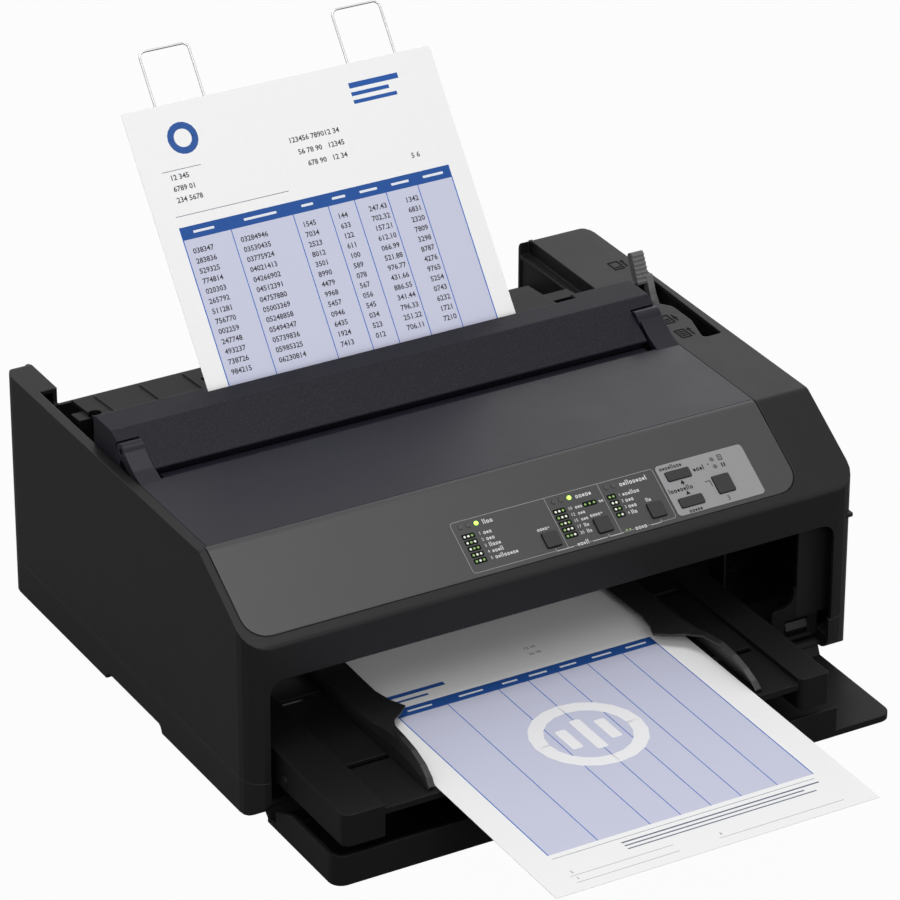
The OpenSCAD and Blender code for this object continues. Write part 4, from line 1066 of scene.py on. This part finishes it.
# ------------------------------------------------------------------ studio
@dataclass
class Studio:
    """The pale floor, the soft lights and the camera of the picture."""

    lens: float = 204.175
    place: tuple[float, float, float] = (-1.335195, -2.26618, 1.561989)
    turn: tuple[float, float, float, float] = (0.8290034, 0.4973602, -0.1323322, -0.2188022)
    lamps: tuple[tuple[str, tuple[float, float, float], float, float], ...] = field(
        default_factory=lambda: (
            ("top", (0.05, -0.3, 1.95), 1.0, 12.0),
            ("key", (-0.95, -0.9, 1.2), 0.6, 3.4),
            ("front", (-0.2, -2.2, 1.1), 1.0, 12.5),
            ("back", (1.3, 1.75, 1.15), 0.6, 1.6),
        ))

    def build(self) -> None:
        """Builds the studio."""
        self.camera()
        self.floor()
        self.lights()
        self.world()

    def camera(self) -> None:
        """The camera at the picture's place."""
        data = bpy.data.cameras.new("camera")
        data.sensor_width = 36.0
        data.lens = self.lens
        data.clip_start, data.clip_end = 0.05, 50.0
        camera = bpy.data.objects.new("camera", data)
        camera.location = self.place
        camera.rotation_mode = "QUATERNION"
        camera.rotation_quaternion = Quaternion(self.turn)
        bpy.context.scene.collection.objects.link(camera)
        bpy.context.scene.camera = camera

    def floor(self) -> None:
        """A pale floor that fades to the white ground and keeps the object's shadow."""
        Bench.clear()
        bpy.ops.mesh.primitive_plane_add(size=14, location=(0, 0, -0.0002))
        floor = bpy.context.object
        floor.name = "floor"
        g = Graph("pale_floor")
        tree = g.tree
        path = g.put("LightPath")
        white = g.put("Emission", {"Color": (1, 1, 1, 1), "Strength": 1.0})
        g.shader.inputs["Base Color"].default_value = (0.18, 0.18, 0.18, 1)
        g.shader.inputs["Roughness"].default_value = 0.85
        seen = g.math("MULTIPLY", path.outputs["Is Camera Ray"], 0.97)
        mirrored = g.math("MULTIPLY", g.math("MAXIMUM", path.outputs["Is Glossy Ray"],
                                             path.outputs["Is Transmission Ray"]), 0.08)
        share = g.put("MixShader", {0: g.math("MAXIMUM", seen, mirrored), 1: g.shader.outputs[0],
                                    2: white.outputs[0]})
        tree.links.new(share.outputs[0], tree.nodes["Material Output"].inputs[0])
        floor.data.materials.append(g.material)

    def lights(self) -> None:
        """Soft lamps around the object."""
        for name, place, size, power in self.lamps:
            data = bpy.data.lights.new(name, "AREA")
            data.shape, data.size, data.energy = "DISK", size, power
            lamp = bpy.data.objects.new(name, data)
            lamp.location = place
            lamp.rotation_mode = "QUATERNION"
            lamp.rotation_quaternion = Vector(place).to_track_quat("Z", "Y")
            bpy.context.scene.collection.objects.link(lamp)

    def world(self) -> None:
        """A white ground for the camera and its reflections, and a soft sky for light."""
        world = bpy.data.worlds.new("studio")
        world.use_nodes = True
        bpy.context.scene.world = world
        tree = world.node_tree
        ground = tree.nodes["Background"]
        ground.inputs["Color"].default_value = (1, 1, 1, 1)
        path = tree.nodes.new("ShaderNodeLightPath")
        level = tree.nodes.new("ShaderNodeMapRange")
        level.inputs["To Min"].default_value = 0.5
        level.inputs["To Max"].default_value = 1.0
        seen = path.outputs["Is Camera Ray"]
        for other in ("Is Glossy Ray", "Is Transmission Ray"):
            either = tree.nodes.new("ShaderNodeMath")
            either.operation = "MAXIMUM"
            tree.links.new(seen, either.inputs[0])
            tree.links.new(path.outputs[other], either.inputs[1])
            seen = either.outputs[0]
        tree.links.new(seen, level.inputs["Value"])
        tree.links.new(level.outputs["Result"], ground.inputs["Strength"])


def main() -> None:
    """Builds every sub-assembly in order."""
    logging.basicConfig(level=logging.INFO, format="%(name)s: %(message)s")
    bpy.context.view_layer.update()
    finishes = Finishes()
    Studio().build()
    for part in (CaseShell, ControlPanel, Covers, RearGuides, Forms, FrontTray, Mechanism,
                 Electrics):
        part(finishes).build()
    bpy.context.scene.view_settings.view_transform = "Standard"
    Bench.clear()


if __name__ == "__main__":
    main()
